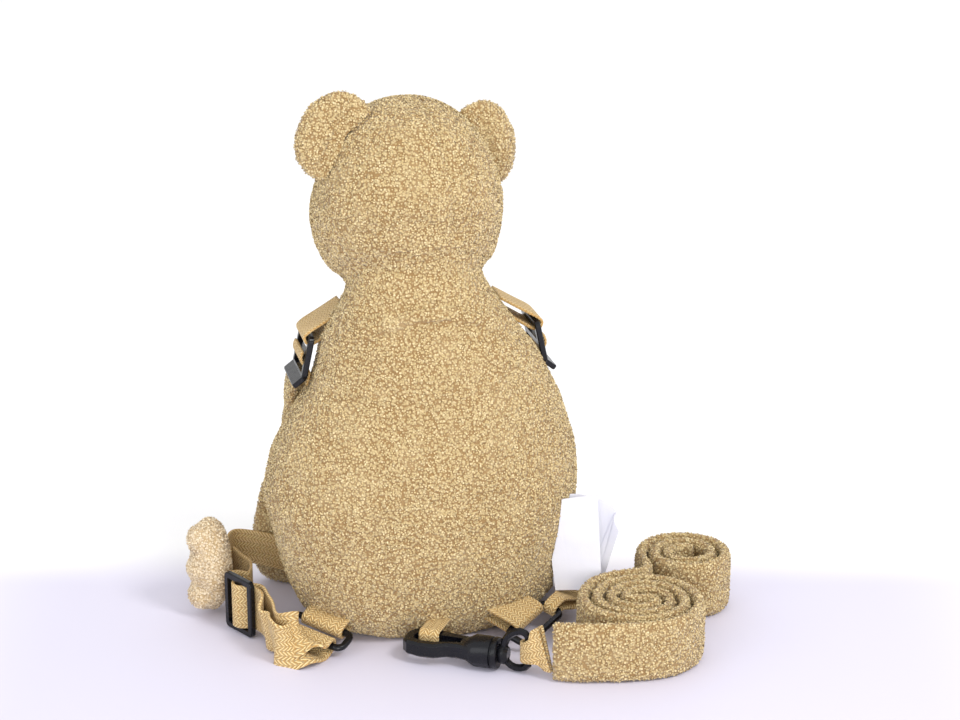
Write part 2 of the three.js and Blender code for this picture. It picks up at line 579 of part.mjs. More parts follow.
// Belts: from the hidden clasp along the inner side of each arm to the back of the paw, then on through
// a slider to a ring at the bottom seam and back to the slider's middle bar. Each side lies in its own way.
const BELT_WIDTH = 20;
const STRAPS = [
  {
    name: 'left', side: -1,
    slider: vector(-101.5, -6, 16.4), sliderHeading: -61.4,
    ring: vector(-64, -36, 10), ringHeading: -39,
    paw: vector(-113, 26, 28),
    belt: [[-32, 40, 14], [-44, 36, 15], [-56, 41.5, 17], [-66, 47.4, 19], [-78, 53, 21.5], [-89, 57.5, 23],
      [-96.5, 57, 24], [-101, 48, 24], [-101.8, 38, 24], [-101.6, 30, 24]],
    start: [[-99.3, 40, 19], [-96, 30, 18.3], [-92, 21, 17.2]],
    bar: 'long', gathered: 1,
    front: [[-92, -32.8, 13.5, 0.23, 0.92], [-89.1, -38.7, 12.8, 0.23, 0.97], [-87.5, -50.9, 11.2, 0, 0.95],
      [-77.2, -50.2, 8.8, 0.54, 1]],
    back: [[-74.2, -47.7, 13.8, 0.6, 0.89], [-78.1, -48.4, 15.2, 0.49, 1], [-85.9, -42.3, 14.5, 0.05, 0.89],
      [-85.5, -31.5, 14.6, 0.15, 0.91], [-87.9, -21.8, 15.2, 0, 0.95]],
  },
  {
    name: 'right', side: 1,
    slider: vector(91, -0.5, 16.4), sliderHeading: -118,
    ring: vector(50, -52, 10), ringHeading: -139,
    paw: vector(82, 36.5, 28),
    belt: [[32, 39, 14], [42, 37, 15], [52, 40.5, 16.5], [60, 44, 18], [66.5, 46, 20], [69.4, 42, 22], [69.4, 36, 23],
      [69.4, 30, 24]],
    start: [[66.6, 41, 19], [66.6, 31, 18.3], [70.4, 22, 17.2]],
    bar: 'short', gathered: 0.3,
    front: [[82.2, -19.5, 11.6, 0.42, 0.88], [78.9, -25.2, 9.4, 0.92, 0.64], [75.3, -30, 9.6, 0.97, 0.45]],
    back: [[75, -27, 14.4, 0.95, 0.6], [81, -17.5, 15, 0.5, 0.85]],
  },
];
const CLASP = { width: 44, height: 26, depth: 9, y: 43, z: 14 };
add('chest_clasp', plate({
  outline: roundedBox(CLASP.width, CLASP.height, 6),
  thickness: CLASP.depth,
  edge: 1.5,
  place: vector(0, CLASP.y, CLASP.z),
  across: vector(1, 0, 0),
  along: UP,
}), 'black_plastic');

const floor = solidOf(new THREE.BoxGeometry(900, 900, 40).translate(0, 0, GAP - 20));
const RING_LENGTH = SLOT_WIDTH + 2 * BAR + 6;
const RING_FALL = 0.18;        // how much lower a ring's front end lies
for (const strap of STRAPS) {
  const heading = rad(strap.sliderHeading);
  const along = vector(Math.cos(heading), Math.sin(heading), 0);
  const outward = vector(-along.y * strap.side, along.x * strap.side, 0);
  const at = (s, n) => strap.slider.clone().addScaledVector(along, s).addScaledVector(outward, n);
  const slider = threeBars(SLIDER_LENGTH, strap.slider, UP, along);
  add(`slider_${strap.name}`, slider, 'black_plastic');

  const turn = rad(strap.ringHeading);
  const length = vector(Math.cos(turn), Math.sin(turn), -RING_FALL).normalize();
  const away = vector(-length.y * strap.side, length.x * strap.side, -0.3);
  away.addScaledVector(length, -away.dot(length)).normalize();
  const over = new THREE.Vector3().crossVectors(length, away).multiplyScalar(strap.side);
  const reach = (RING_WIDTH - BAR) / 2;
  const inner = strap.ring.clone().addScaledVector(away, -reach);
  const outer = strap.ring.clone().addScaledVector(away, reach);
  const ring = (grow) => plate({
    outline: roundedBox(RING_LENGTH + 2 * grow, RING_WIDTH + 2 * grow, RING_WIDTH * 0.36),
    holes: [roundedBox(RING_LENGTH - 2 * BAR - 2 * grow, RING_WIDTH - 2 * BAR - 2 * grow, RING_WIDTH * 0.14)],
    thickness: BAR + 2 * grow,
    edge: 0.9,
    place: strap.ring,
    across: length,
    along: away,
  });
  add(`ring_${strap.name}`, ring(0), 'black_plastic');
  add(`bottom_tab_${strap.name}`, seamLoop({ bar: inner, away, up: over, across: length, reach: 24 }), 'webbing');

  const clasp = [strap.side * (CLASP.width / 2 + GAP), CLASP.y - 1.5, CLASP.z];
  const belt = [clasp, ...strap.belt];
  const beltAcross = belt.map(() => [0, 0, 1]);
  const long = strap.bar === 'long';
  const wrap = WRAP + (long ? 0.6 : 0.32);
  const bar = long ? outer : strap.ring.clone().addScaledVector(length, (BAR - RING_LENGTH) / 2);
  const [outwards, lies] = long ? [away, length.clone().negate()] : [length.clone().negate(), away];
  const round = (out, lift) => [listed(bar.clone().addScaledVector(outwards, out * wrap).addScaledVector(over, lift * wrap)),
    listed(lies), strap.gathered];
  const onTheWay = ([x, y, z, share, wide]) => [
    [x, y, z], listed(UP.clone().multiplyScalar(1 - share).addScaledVector(lies, share).normalize()), wide,
  ];
  const run = [
    ...strap.start.map((p) => [p, [0, 0, 1]]),
    ...[[-9.6, -12.7], [-14.5, -9.5], [-16, -5.5], [-11.2, -3], [-8, -2.6], [-5.2, 0], [-2.4, 2.6], [0, 3.1], [2.4, 2.6],
      [5.2, 0], [8, -2.6], [11.2, -3], [17, -2]]
      .map(([s, n]) => [listed(at(s, n)), [0, 0, 1]]),
    ...strap.front.map(onTheWay),
    round(1.8, -0.95), round(0, -1), round(-0.75, -0.72), round(-1, 0), round(-0.75, 0.72), round(0, 1), round(1.4, 1.1),
    ...strap.back.map(onTheWay),
    [listed(at(10, -7.2)), [0, 0, 1]], [listed(at(4, -4.6)), [0, 0, 1]], [listed(at(-0.8, -2.9)), [0, 0, 1]],
  ];
  const [runPoints, runAcross] = [run.map(([p]) => p), run.map(([, a]) => a)];
  const side = solidOf(band({
    points: runPoints,
    across: runAcross,
    wide: run.map(([, , wide = 1]) => wide),
    steps: 66,
    profile: flatProfile(WEBBING_WIDTH, WEBBING_THICKNESS),
  })).subtract(floor);
  add(`chest_belt_${strap.name}`, webbing(belt, beltAcross, 32, BELT_WIDTH), 'webbing');
  add(`side_webbing_${strap.name}`, side, 'webbing');

  // The plush gives way to the webbing that lies against it
  const clear = [[belt, beltAcross, 32, BELT_WIDTH], [runPoints.slice(0, 9), runAcross.slice(0, 9), 24, WEBBING_WIDTH]]
    .map(([points, across, steps, width]) => solidOf(band({
      points, across, steps, profile: flatProfile(width + 2 * GAP, WEBBING_THICKNESS + 2 * GAP),
    })));
  const pad = new THREE.SphereGeometry(1, 14, 9);
  pad.scale(PAW_THICKNESS / 2, PAW_LENGTH / 2, PAW_HEIGHT / 2);
  pad.translate(strap.paw.x, strap.paw.y, strap.paw.z);
  let paw = solidOf(pad);
  for (const [rise, size] of [[0.31, 0.36], [0.0, 0.38], [-0.29, 0.36]]) {
    const toe = new THREE.SphereGeometry(size * PAW_LENGTH * 0.75, 8, 6);
    toe.translate(strap.paw.x + strap.side * PAW_THICKNESS * 0.22, strap.paw.y - PAW_LENGTH * 0.14, strap.paw.z + rise * PAW_HEIGHT);
    paw = paw.add(solidOf(toe));
  }
  for (const cut of clear) paw = paw.subtract(cut);
  add(`paw_${strap.name}`, paw, 'plush');
}

// The swivel hook lies on the floor behind the bear, held by a loop sewn in the bottom seam
const HOOK_START = vector(-20.8, -54.7, BARREL_DIAMETER / 2 + GAP);
const HOOK_HEADING = rad(-30.9);
const hookAlong = vector(Math.cos(HOOK_HEADING), Math.sin(HOOK_HEADING), 0);
const hookOut = vector(Math.sin(HOOK_HEADING), -Math.cos(HOOK_HEADING), 0);
const onHook = (u, w, rise = 0) => HOOK_START.clone()
  .addScaledVector(hookAlong, u).addScaledVector(hookOut, w).addScaledVector(UP, rise);
const BARREL_LENGTH = 16;
const BARREL_START = HOOK_LENGTH - BARREL_LENGTH;
const HOOK_HALF = HOOK_WIDTH / 2;
const hookShape = (list) => new THREE.Shape(list.map(([u, w]) => new THREE.Vector2(u, w * HOOK_HALF)));
const hookPlate = plate({
  outline: hookShape([[BARREL_START + 4, 0.7], [BARREL_START, 0.7], [30, 0.55], [25, 0.6], [19, 0.95], [11, 1],
    [3.5, 0.82], [0.6, 0.5], [0, 0], [0.6, -0.5], [3, -0.85], [8, -1], [20, -1], [29, -0.82], [BARREL_START, -0.78], [BARREL_START + 4, -0.7]]),
  holes: [hookShape([[31, 0.16], [25, 0.28], [18, 0.52], [10, 0.55], [6, 0.35], [5, 0], [6, -0.3], [10, -0.38], [31, -0.34]])],
  thickness: HOOK_THICKNESS,
  edge: 1.2,
  place: HOOK_START,
  across: hookAlong,
  along: hookOut,
});
// A piece turned on the hook's axis, from rows of distance along it and radius
function turnedOnHook(rows, sides = 16) {
  return solidOf(skin(rows.map(([u, radius]) => Array.from({ length: sides }, (_, i) => {
    const angle = (i / sides) * 2 * Math.PI;
    return onHook(u, Math.cos(angle) * radius, Math.sin(angle) * radius);
  }))));
}
const BARREL_RADIUS = BARREL_DIAMETER / 2;
const barrel = turnedOnHook([
  [BARREL_START - 2, BARREL_RADIUS * 0.7], [BARREL_START + 3, BARREL_RADIUS], [HOOK_LENGTH - 4, BARREL_RADIUS],
  [HOOK_LENGTH - 3.6, BARREL_RADIUS * 0.9], [HOOK_LENGTH - 3, BARREL_RADIUS * 0.9], [HOOK_LENGTH - 2.6, BARREL_RADIUS],
  [HOOK_LENGTH - 0.6, BARREL_RADIUS], [HOOK_LENGTH, BARREL_RADIUS * 0.92],
]);
add('snap_hook', hookPlate.add(barrel), 'black_plastic');

const LOOP_WIRE = 4.2;
const LOOP_END = 15.5;         // from the barrel to the middle of the loop's bar
const LOOP_ROWS = [            // the loop's wire: along from the barrel, and rise from its axis
  [2.5, 3.2], [3.5, -3.2], [7.5, -6.4], [12.5, -6.4], [LOOP_END, -4], [LOOP_END, 0], [LOOP_END, 7], [LOOP_END, 11.5],
  [12.5, 14], [7, 12.5], [3.4, 8.2],
];
const collar = turnedOnHook([[HOOK_LENGTH + GAP, 5], [HOOK_LENGTH + 3, 5.4], [HOOK_LENGTH + 5, 3.6]], 14);
const loopCurve = new THREE.CatmullRomCurve3(LOOP_ROWS.map(([u, rise]) => onHook(HOOK_LENGTH + u, 0, rise)), true, 'centripetal');
const LOOP_STEPS = 22;
const WIRE_SIDES = 6;
const wireRings = Array.from({ length: LOOP_STEPS }, (_, i) => {
  const point = loopCurve.getPointAt(i / LOOP_STEPS);
  const along = loopCurve.getTangentAt(i / LOOP_STEPS);
  const side = new THREE.Vector3().crossVectors(along, hookOut).normalize();
  return Array.from({ length: WIRE_SIDES }, (__, j) => {
    const angle = ((j + 0.5) / WIRE_SIDES) * 2 * Math.PI;
    return point.clone().addScaledVector(hookOut, (Math.cos(angle) * LOOP_WIRE) / 2).addScaledVector(side, (Math.sin(angle) * LOOP_WIRE) / 2);
  });
});
function closedLoop(rings) {
  const points = rings.flat();
  const sides = rings[0].length;
  const faces = [];
  for (let r = 0; r < rings.length; r += 1) {
    for (let s = 0; s < sides; s += 1) {
      const [a, b] = [r * sides + s, r * sides + (s + 1) % sides];
      const [c, d] = [((r + 1) % rings.length) * sides + s, ((r + 1) % rings.length) * sides + (s + 1) % sides];
      faces.push(a, b, d, a, d, c);
    }
  }
  const geometry = new THREE.BufferGeometry();
  geometry.setAttribute('position', new THREE.Float32BufferAttribute(points.flatMap(listed), 3));
  geometry.setIndex(faces);
  const solid = solidOf(geometry);
  if (solid.volume() > 0) return solid;
  geometry.setIndex(faces.reverse());
  return solidOf(geometry);
}
const swivel = closedLoop(wireRings).add(collar).subtract(turnedOnHook([[HOOK_LENGTH - 6, BARREL_RADIUS], [HOOK_LENGTH + GAP, BARREL_RADIUS]]));
add('swivel_loop', swivel, 'black_plastic');

// The hook's own loop of webbing, round its inner side
const ANCHOR_WIDTH = 11;
const ANCHOR_AT = { along: 12.6, out: -0.69 * HOOK_HALF };
const anchorHalf = { out: 0.31 * HOOK_HALF + GAP + WEBBING_THICKNESS / 2 + 0.8, rise: HOOK_THICKNESS / 2 + GAP + WEBBING_THICKNESS / 2 + 0.5 };
const anchorRows = [[-34, 0.7], [-20, 0.9], [-8, 1], [0, 1], [0.55, 1, 1], [0.95, 0.8, 1], [1.05, 0.3, 1], [1.05, -0.3, 1], [0.95, -0.8, 1], [0.55, -1, 1], [0, -1],
  [-8, -1], [-20, -0.9], [-34, -0.7]];
add('anchor_loop', solidOf(webbing(
  anchorRows.map(([out, rise, share]) => listed(onHook(
    ANCHOR_AT.along,
    ANCHOR_AT.out + (share ? out * anchorHalf.out : out),
    rise * anchorHalf.rise,
  ))),
  anchorRows.map(() => listed(hookAlong)),
  24,
  ANCHOR_WIDTH,
)).subtract(grownBody), 'webbing');

// The lead: webbing round the swivel's bar, then a padded strap on edge that runs to a double coil and
// from its far side to a single coil
const COIL_STEP = 22.5;        // degrees between the sections of a coil
const LAYER = LEASH_THICKNESS + LEASH_LAYER_GAP;
const COIL_ONE = { x: 101, y: -78, start: -100 };
const COIL_TWO = { x: 143.2, y: -24.6, start: 180 };
const leadPath = [[47.4, -101.9], [59, -105.8], [70.6, -108.6], [83, -110.8]];
const strand = [];
for (let i = 0; i <= Math.round((COIL_ONE_TURNS * 360) / COIL_STEP); i += 1) {
  const angle = rad(COIL_ONE.start + i * COIL_STEP);
  const radius = COIL_ONE_RADIUS - (2 * LAYER * i * COIL_STEP) / 360;
  strand.push([Math.cos(angle) * radius, Math.sin(angle) * radius]);
}
const [lastX, lastY] = strand[strand.length - 1];
const [tangentX, tangentY] = [-lastY, lastX];
const bight = [0.62, 0, -0.62].map((share) => [
  lastX * share * 0.8 + tangentX * share * 0.42,
  lastY * share * 0.8 + tangentY * share * 0.42,
]);
leadPath.push(...strand.map(([x, y]) => [COIL_ONE.x + x, COIL_ONE.y + y]));
leadPath.push(...bight.map(([x, y]) => [COIL_ONE.x + x, COIL_ONE.y + y]));
leadPath.push(...strand.slice().reverse().map(([x, y]) => [COIL_ONE.x - x, COIL_ONE.y - y]));
leadPath.push([112.5, -43.2], [116.6, -38.2], [117.6, -31.5]);
for (let i = 0; i <= Math.round((COIL_TWO_TURNS * 360) / COIL_STEP); i += 1) {
  const angle = rad(COIL_TWO.start - i * COIL_STEP);
  const radius = COIL_TWO_RADIUS - (LAYER * i * COIL_STEP) / 360;
  leadPath.push([COIL_TWO.x + Math.cos(angle) * radius, COIL_TWO.y + Math.sin(angle) * radius]);
}
const leadMiddle = LEASH_WIDTH / 2 + GAP;
add('leash', band({
  points: leadPath.map(([x, y]) => [x, y, leadMiddle]),
  across: upright(leadPath.length),
  steps: leadPath.length - 1,
  byPoint: true,
  profile: (t) => {
    const ends = Math.min(1, 0.55 + 60 * Math.min(t, 1 - t));
    const [w, d] = [LEASH_WIDTH / 2, (LEASH_THICKNESS / 2) * ends];
    return [[-w, -d * 0.5], [-w * 0.72, -d], [w * 0.72, -d], [w, -d * 0.5], [w, d * 0.5], [w * 0.72, d], [-w * 0.72, d], [-w, d * 0.5]];
  },
}), 'plush');

const loopBar = onHook(HOOK_LENGTH + LOOP_END, 0, 0);
const toLead = vector(leadPath[0][0] - loopBar.x, leadPath[0][1] - loopBar.y, 0);
const leadGap = toLead.length() - 5;
toLead.normalize();
const besideLead = vector(toLead.y, -toLead.x, 0);
const loopWrap = LOOP_WIRE / 2 + GAP + WEBBING_THICKNESS / 2 + 0.15;
const leadRows = [[leadGap, -1.3], [leadGap * 0.65, -2.1], [5, -loopWrap], [0, -loopWrap], [-loopWrap * 0.72, -loopWrap * 0.72], [-loopWrap, 0],
  [-loopWrap * 0.72, loopWrap * 0.72], [0, loopWrap], [5, loopWrap], [leadGap * 0.65, 2.1], [leadGap, 1.3]];
const leadRise = (u) => 3.6 + Math.max(0, u / leadGap) * 4.2;
add('leash_webbing', band({
  points: leadRows.map(([u, v]) => listed(loopBar.clone().addScaledVector(toLead, u).addScaledVector(besideLead, v).addScaledVector(UP, leadRise(u)))),
  across: upright(leadRows.length),
  steps: 26,
  wide: [1, 0.9, 0.55, 0.45, 0.44, 0.44, 0.44, 0.45, 0.55, 0.9, 1],
  profile: flatProfile(WEBBING_WIDTH, WEBBING_THICKNESS),
}), 'webbing');

// The bare care label: two leaves sewn in the side seam on the bear's right
const LABELS = [
  {
    name: 'care_label_front',
    points: [[64, -30.5, 44.5], [78, -35.5, 46.3], [89, -40.5, 47]],
    across: [[10.3, -4.4, 52], [11.2, -4.6, 56], [12.2, -4.9, 60]],
    wide: [1, 1.03, 1.1],
  },
  {
    name: 'care_label_back',
    points: [[66, -24.5, 44], [82, -27, 45], [92, -28.5, 40], [98.5, -31.5, 38]],
    across: [[10.5, -3.4, 52], [10, -3, 52], [8, -3, 50], [5, -2.6, 50]],
    wide: [1, 1.0, 0.86, 0.5],
  },
];
for (const leaf of LABELS) {
  add(leaf.name, solidOf(band({
    ...leaf,
    steps: 10,
    profile: flatProfile(LABEL_HEIGHT, LABEL_THICKNESS),
  })).subtract(grownBody), 'label');
}
add('arm_left', arms.left, 'plush');
add('arm_right', arms.right, 'plush');
export default bag;
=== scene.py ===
"""Looks for the toddler harness backpack: sherpa plush, herringbone webbing, glossy fittings, on a pale floor."""

import math

import bmesh
import bpy
import numpy as np
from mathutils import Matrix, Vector, noise


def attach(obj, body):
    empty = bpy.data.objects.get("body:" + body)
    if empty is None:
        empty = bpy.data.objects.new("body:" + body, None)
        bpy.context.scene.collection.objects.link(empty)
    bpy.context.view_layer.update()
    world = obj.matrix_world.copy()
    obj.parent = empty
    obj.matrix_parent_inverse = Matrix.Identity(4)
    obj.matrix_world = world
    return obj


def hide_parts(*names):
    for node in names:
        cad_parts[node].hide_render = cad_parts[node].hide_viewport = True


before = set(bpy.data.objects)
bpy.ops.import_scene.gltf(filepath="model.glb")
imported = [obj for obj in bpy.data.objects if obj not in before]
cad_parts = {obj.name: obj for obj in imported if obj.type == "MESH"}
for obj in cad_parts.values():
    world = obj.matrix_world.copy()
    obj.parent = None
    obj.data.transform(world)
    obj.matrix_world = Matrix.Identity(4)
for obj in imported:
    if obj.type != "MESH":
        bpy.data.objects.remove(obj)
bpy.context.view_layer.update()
MM = 0.001


# Shader maths


class Wave:
    """A socket that can be written in sums and products."""

    def __init__(self, net, socket):
        self.net, self.socket = net, socket

    def maths(self, operation, *others):
        values = dict(enumerate((self, *others)))
        return self.net.out(self.net.add("ShaderNodeMath", {"operation": operation}, values))

    def __add__(self, other):
        return self.maths("ADD", other)

    __radd__ = __add__

    def __mul__(self, other):
        return self.maths("MULTIPLY", other)

    __rmul__ = __mul__

    def __sub__(self, other):
        return self.maths("SUBTRACT", other)

    def __rsub__(self, other):
        return (self * -1.0) + other

    def sin(self):
        return self.maths("SINE")

    def abs(self):
        return self.maths("ABSOLUTE")

    def swing(self, half_period):
        """Goes evenly from 0 to half_period and back."""
        return self.maths("PINGPONG", half_period)

    def ramp(self, low, high):
        """0 below low, 1 above high, smooth between."""
        node = self.net.add(
            "ShaderNodeMapRange",
            {"interpolation_type": "SMOOTHSTEP"},
            {"Value": self, "From Min": low, "From Max": high},
        )
        return self.net.out(node)


class Net:
    """The nodes of one material."""

    def __init__(self, name):
        self.material = bpy.data.materials.new(name)
        self.material.use_nodes = True
        self.tree = self.material.node_tree
        self.tree.nodes.clear()

    def add(self, kind, settings=None, values=None):
        node = self.tree.nodes.new(kind)
        for name, value in (settings or {}).items():
            setattr(node, name, value)
        for name, value in (values or {}).items():
            if isinstance(value, Wave):
                self.tree.links.new(value.socket, node.inputs[name])
            else:
                node.inputs[name].default_value = value
        return node

    def out(self, node, name=0):
        return Wave(self, node.outputs[name])

    def place(self, kind="Object"):
        return self.out(self.add("ShaderNodeTexCoord"), kind)

    def parts(self, vector):
        node = self.add("ShaderNodeSeparateXYZ", {}, {0: vector})
        return [self.out(node, i) for i in range(3)]

    def noise(self, vector, scale, detail):
        node = self.add("ShaderNodeTexNoise", {}, {"Vector": vector, "Scale": scale, "Detail": detail})
        return self.out(node, "Fac")

    def cells(self, vector, scale):
        return self.out(self.add("ShaderNodeTexVoronoi", {}, {"Vector": vector, "Scale": scale}), "Distance")

    def mix(self, share, first, second):
        node = self.add("ShaderNodeMix", {"data_type": "RGBA"}, {0: share, 6: first, 7: second})
        return self.out(node, 2)

    def attribute(self, name):
        return self.out(self.add("ShaderNodeAttribute", {"attribute_name": name}), "Fac")

    def bump(self, height, distance):
        return self.out(self.add("ShaderNodeBump", {}, {"Height": height, "Distance": distance}), "Normal")

    def surface(self, **values):
        named = {name.replace("_", " ").title().replace("Ior", "IOR"): value for name, value in values.items()}
        shader = self.add("ShaderNodeBsdfPrincipled", {}, named)
        self.add("ShaderNodeOutputMaterial", {}, {"Surface": self.out(shader)})
        return self.material


def colour(red, green, blue):
    """A colour from screen values of 0 to 255."""
    linear = [(v / 255 / 12.92) if v <= 10 else ((v / 255 + 0.055) / 1.055) ** 2.4 for v in (red, green, blue)]
    return (*linear, 1.0)


CURL_CELLS = 520.0  # curls to a metre, in the ground's mottling


def plush_cloth(name, light, middle, dark):
    """The knitted ground between the curls: mottled at random, and darker in the hollows of its bump as painted
    shade.
    """
    net = Net(name)
    at = net.place()
    curls = net.cells(at, CURL_CELLS)
    patches = net.noise(at, 60.0, 3.0)
    shade = curls.ramp(0.15, 0.75) * 0.6 + net.noise(at, 900.0, 2.0) * 0.5
    # Painted shade: the dark tone where the cell borders lie low, mixed with random mottling
    tone = net.mix(shade.ramp(0.2, 0.8), middle, dark)
    tone = net.mix(patches.ramp(0.45, 0.75) * 0.15, tone, light)
    height = (1.0 - curls.ramp(0.0, 0.9)) + net.noise(at, 1500.0, 1.0) * 0.4
    return net.surface(
        base_color=tone, roughness=0.95, sheen_weight=0.25, sheen_roughness=0.5, normal=net.bump(height, 0.0009)
    )


def plush_curls(name, light, middle, dark):
    """The curls: each with its own tone, and darker at its foot as painted shade among the curls."""
    net = Net(name)
    at = net.place()
    own = net.attribute("tone")
    rise = net.attribute("rise")
    patches = net.noise(at, 45.0, 3.0)
    tone = net.mix((own * 0.8 + (patches - 0.5) * 0.2).ramp(0.1, 1.0), middle, light)
    # Painted shade towards each curl's foot, with a little random darkening by its own tone
    tone = net.mix(((1.0 - rise) * 0.75 + (1.0 - own) * 0.2).ramp(0.35, 1.05), tone, dark)
    return net.surface(base_color=tone, roughness=1.0, specular_ior_level=0.12, sheen_weight=0.1, sheen_roughness=0.5)


# Each plush has a light, a middle and a dark tone
PLUSH = (colour(226, 209, 166), colour(204, 182, 134), colour(148, 118, 74))
PALE = (colour(246, 238, 224), colour(232, 219, 198), colour(186, 164, 136))
# The paws' plush: the sandy plush painted paler and greyer, as painted light for how the paws are lit
PAINTED_LIT_PAW = (colour(238, 224, 198), colour(226, 208, 176), colour(190, 164, 124))
CLOTH, CURLS = plush_cloth("sandy plush ground", *PLUSH), plush_curls("sandy plush curls", *PLUSH)
PALE_CLOTH, PALE_CURLS = plush_cloth("pale plush ground", *PALE), plush_curls("pale plush curls", *PALE)
PAINTED_LIT_PAW_CLOTH, PAINTED_LIT_PAW_CURLS = plush_cloth("paw plush ground painted lit", *PAINTED_LIT_PAW), plush_curls("paw plush curls painted lit", *PAINTED_LIT_PAW)

# Spacing of the webbing's weave, in metres
CHEVRON, RIB, THREAD = 0.0025, 0.0019, 0.0008


def webbing_cloth():
    """Herringbone webbing: chevrons across its width, ribs along them, darker where the weave lies low as painted
    shade in its grooves. The UV is in metres across and along.
    """
    net = Net("straw herringbone webbing")
    across, along, _ = net.parts(net.place("UV"))
    zigzag = across.swing(CHEVRON)
    rib = ((along + zigzag) * (2 * math.pi / RIB)).sin() * 0.5 + 0.5
    spine = ((across * (math.pi / CHEVRON)).sin()).abs().ramp(0.0, 0.3)
    threads = ((across * (2 * math.pi / THREAD)).sin()) * 0.5 + 0.5
    fuzz = net.noise(net.place(), 700.0, 3.0)
    lift = rib.ramp(0.1, 0.8) * spine * 0.85 + threads * 0.15
    # Painted shade: the dark colour follows the weave's low places, the same relief as its bump
    tone = net.mix(lift.ramp(0.02, 0.55), colour(186, 142, 76), colour(240, 212, 152))
    tone = net.mix((net.noise(net.place(), 90.0, 2.0).ramp(0.4, 0.8)) * 0.35, tone, colour(206, 160, 86))
    tone = net.mix(fuzz.ramp(0.45, 0.75) * 0.3, tone, colour(244, 222, 170))
    normal = net.bump(lift + fuzz * 0.15, 0.0011)
    return net.surface(base_color=tone, roughness=0.7, sheen_weight=0.15, sheen_roughness=0.4, normal=normal)


def moulded_plastic():
    net = Net("black moulded plastic")
    at = net.place()
    cloud = net.noise(at, 260.0, 3.0)
    scuffs = net.noise(at, 40.0, 4.0)
    tone = net.mix(scuffs.ramp(0.5, 0.8) * 0.4, colour(7, 8, 14), colour(17, 18, 28))
    return net.surface(
        base_color=tone, roughness=cloud.ramp(0.3, 0.8) * 0.14 + 0.22, specular_ior_level=0.3,
        coat_weight=0.08, coat_roughness=0.1, normal=net.bump(cloud, 0.00006),
    )


def label_cloth():
    net = Net("white satin label")
    at = net.place()
    weave = net.noise(at, 1600.0, 2.0)
    clouds = net.noise(at, 35.0, 2.0)
    tone = net.mix(clouds.ramp(0.3, 0.8), colour(232, 233, 242), colour(214, 216, 230))
    return net.surface(base_color=tone, roughness=0.55, sheen_weight=0.1, normal=net.bump(weave, 0.00008))


def zip_cloth():
    net = Net("zip tape")
    at = net.place()
    weave = net.noise(at, 900.0, 2.0)
    tone = net.mix(weave.ramp(0.3, 0.7), colour(150, 112, 60), colour(190, 152, 94))
    return net.surface(base_color=tone, roughness=0.85, normal=net.bump(weave, 0.0002))


WEBBING, PLASTIC, LABEL, ZIP = webbing_cloth(), moulded_plastic(), label_cloth(), zip_cloth()


# Meshes


def mesh_object(name, points, faces, uv=None, smooth=True):
    mesh = bpy.data.meshes.new(name)
    mesh.from_pydata([tuple(p) for p in points], [], faces)
    if uv is not None:
        layer = mesh.uv_layers.new(name="UVMap")
        corners = np.array([uv[v] for face in faces for v in face], dtype=np.float32)
        layer.data.foreach_set("uv", corners.ravel())
    mesh.shade_smooth() if smooth else mesh.shade_flat()
    made = bpy.data.objects.new(name, mesh)
    bpy.context.scene.collection.objects.link(made)
    return made


def copy_of(node, name):
    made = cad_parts[node].copy()
    made.data = made.data.copy()
    made.name = name
    made.parent = None
    made.hide_render = False
    made.hide_viewport = False
    bpy.context.scene.collection.objects.link(made)
    return made


def applied(made, *modifiers):
    """Puts modifiers on a piece, each a kind and its settings, and makes them its shape."""
    for kind, settings in modifiers:
        modifier = made.modifiers.new(kind.lower(), kind)
        for name, value in settings.items():
            setattr(modifier, name, value)
    graph = bpy.context.evaluated_depsgraph_get()
    mesh = bpy.data.meshes.new_from_object(made.evaluated_get(graph))
    made.modifiers.clear()
    made.data = mesh
    return made


def paint(made, material):
    made.data.materials.clear()
    made.data.materials.append(material)


def done(made, nodes):
    """Puts a finished piece on the root body and hides the CAD nodes it stands for."""
    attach(made, "root")
    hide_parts(*nodes)
    return made


def spline(rows, steps):
    """Rows of numbers joined by a smooth curve through them, each stretch cut in steps."""
    rows = np.array(rows, dtype=float)
    first, last = 2 * rows[0] - rows[1], 2 * rows[-1] - rows[-2]
    held = np.vstack([first, rows, last])
    out = []
    for i in range(len(rows) - 1):
        a, b, c, d = held[i : i + 4]
        reach = [max(1e-4, np.linalg.norm(q[:3] - p[:3])) ** 0.5 for p, q in ((a, b), (b, c), (c, d))]
        start = ((b - a) / reach[0] - (c - a) / (reach[0] + reach[1]) + (c - b) / reach[1]) * reach[1]
        end = ((c - b) / reach[1] - (d - b) / (reach[1] + reach[2]) + (d - c) / reach[2]) * reach[1]
        for k in range(steps):
            t = k / steps
            square, cube = 3 * c - 3 * b - 2 * start - end, 2 * b - 2 * c + start + end
            out.append(b + start * t + square * t**2 + cube * t**3)
    out.append(rows[-1])
    return np.array(out)


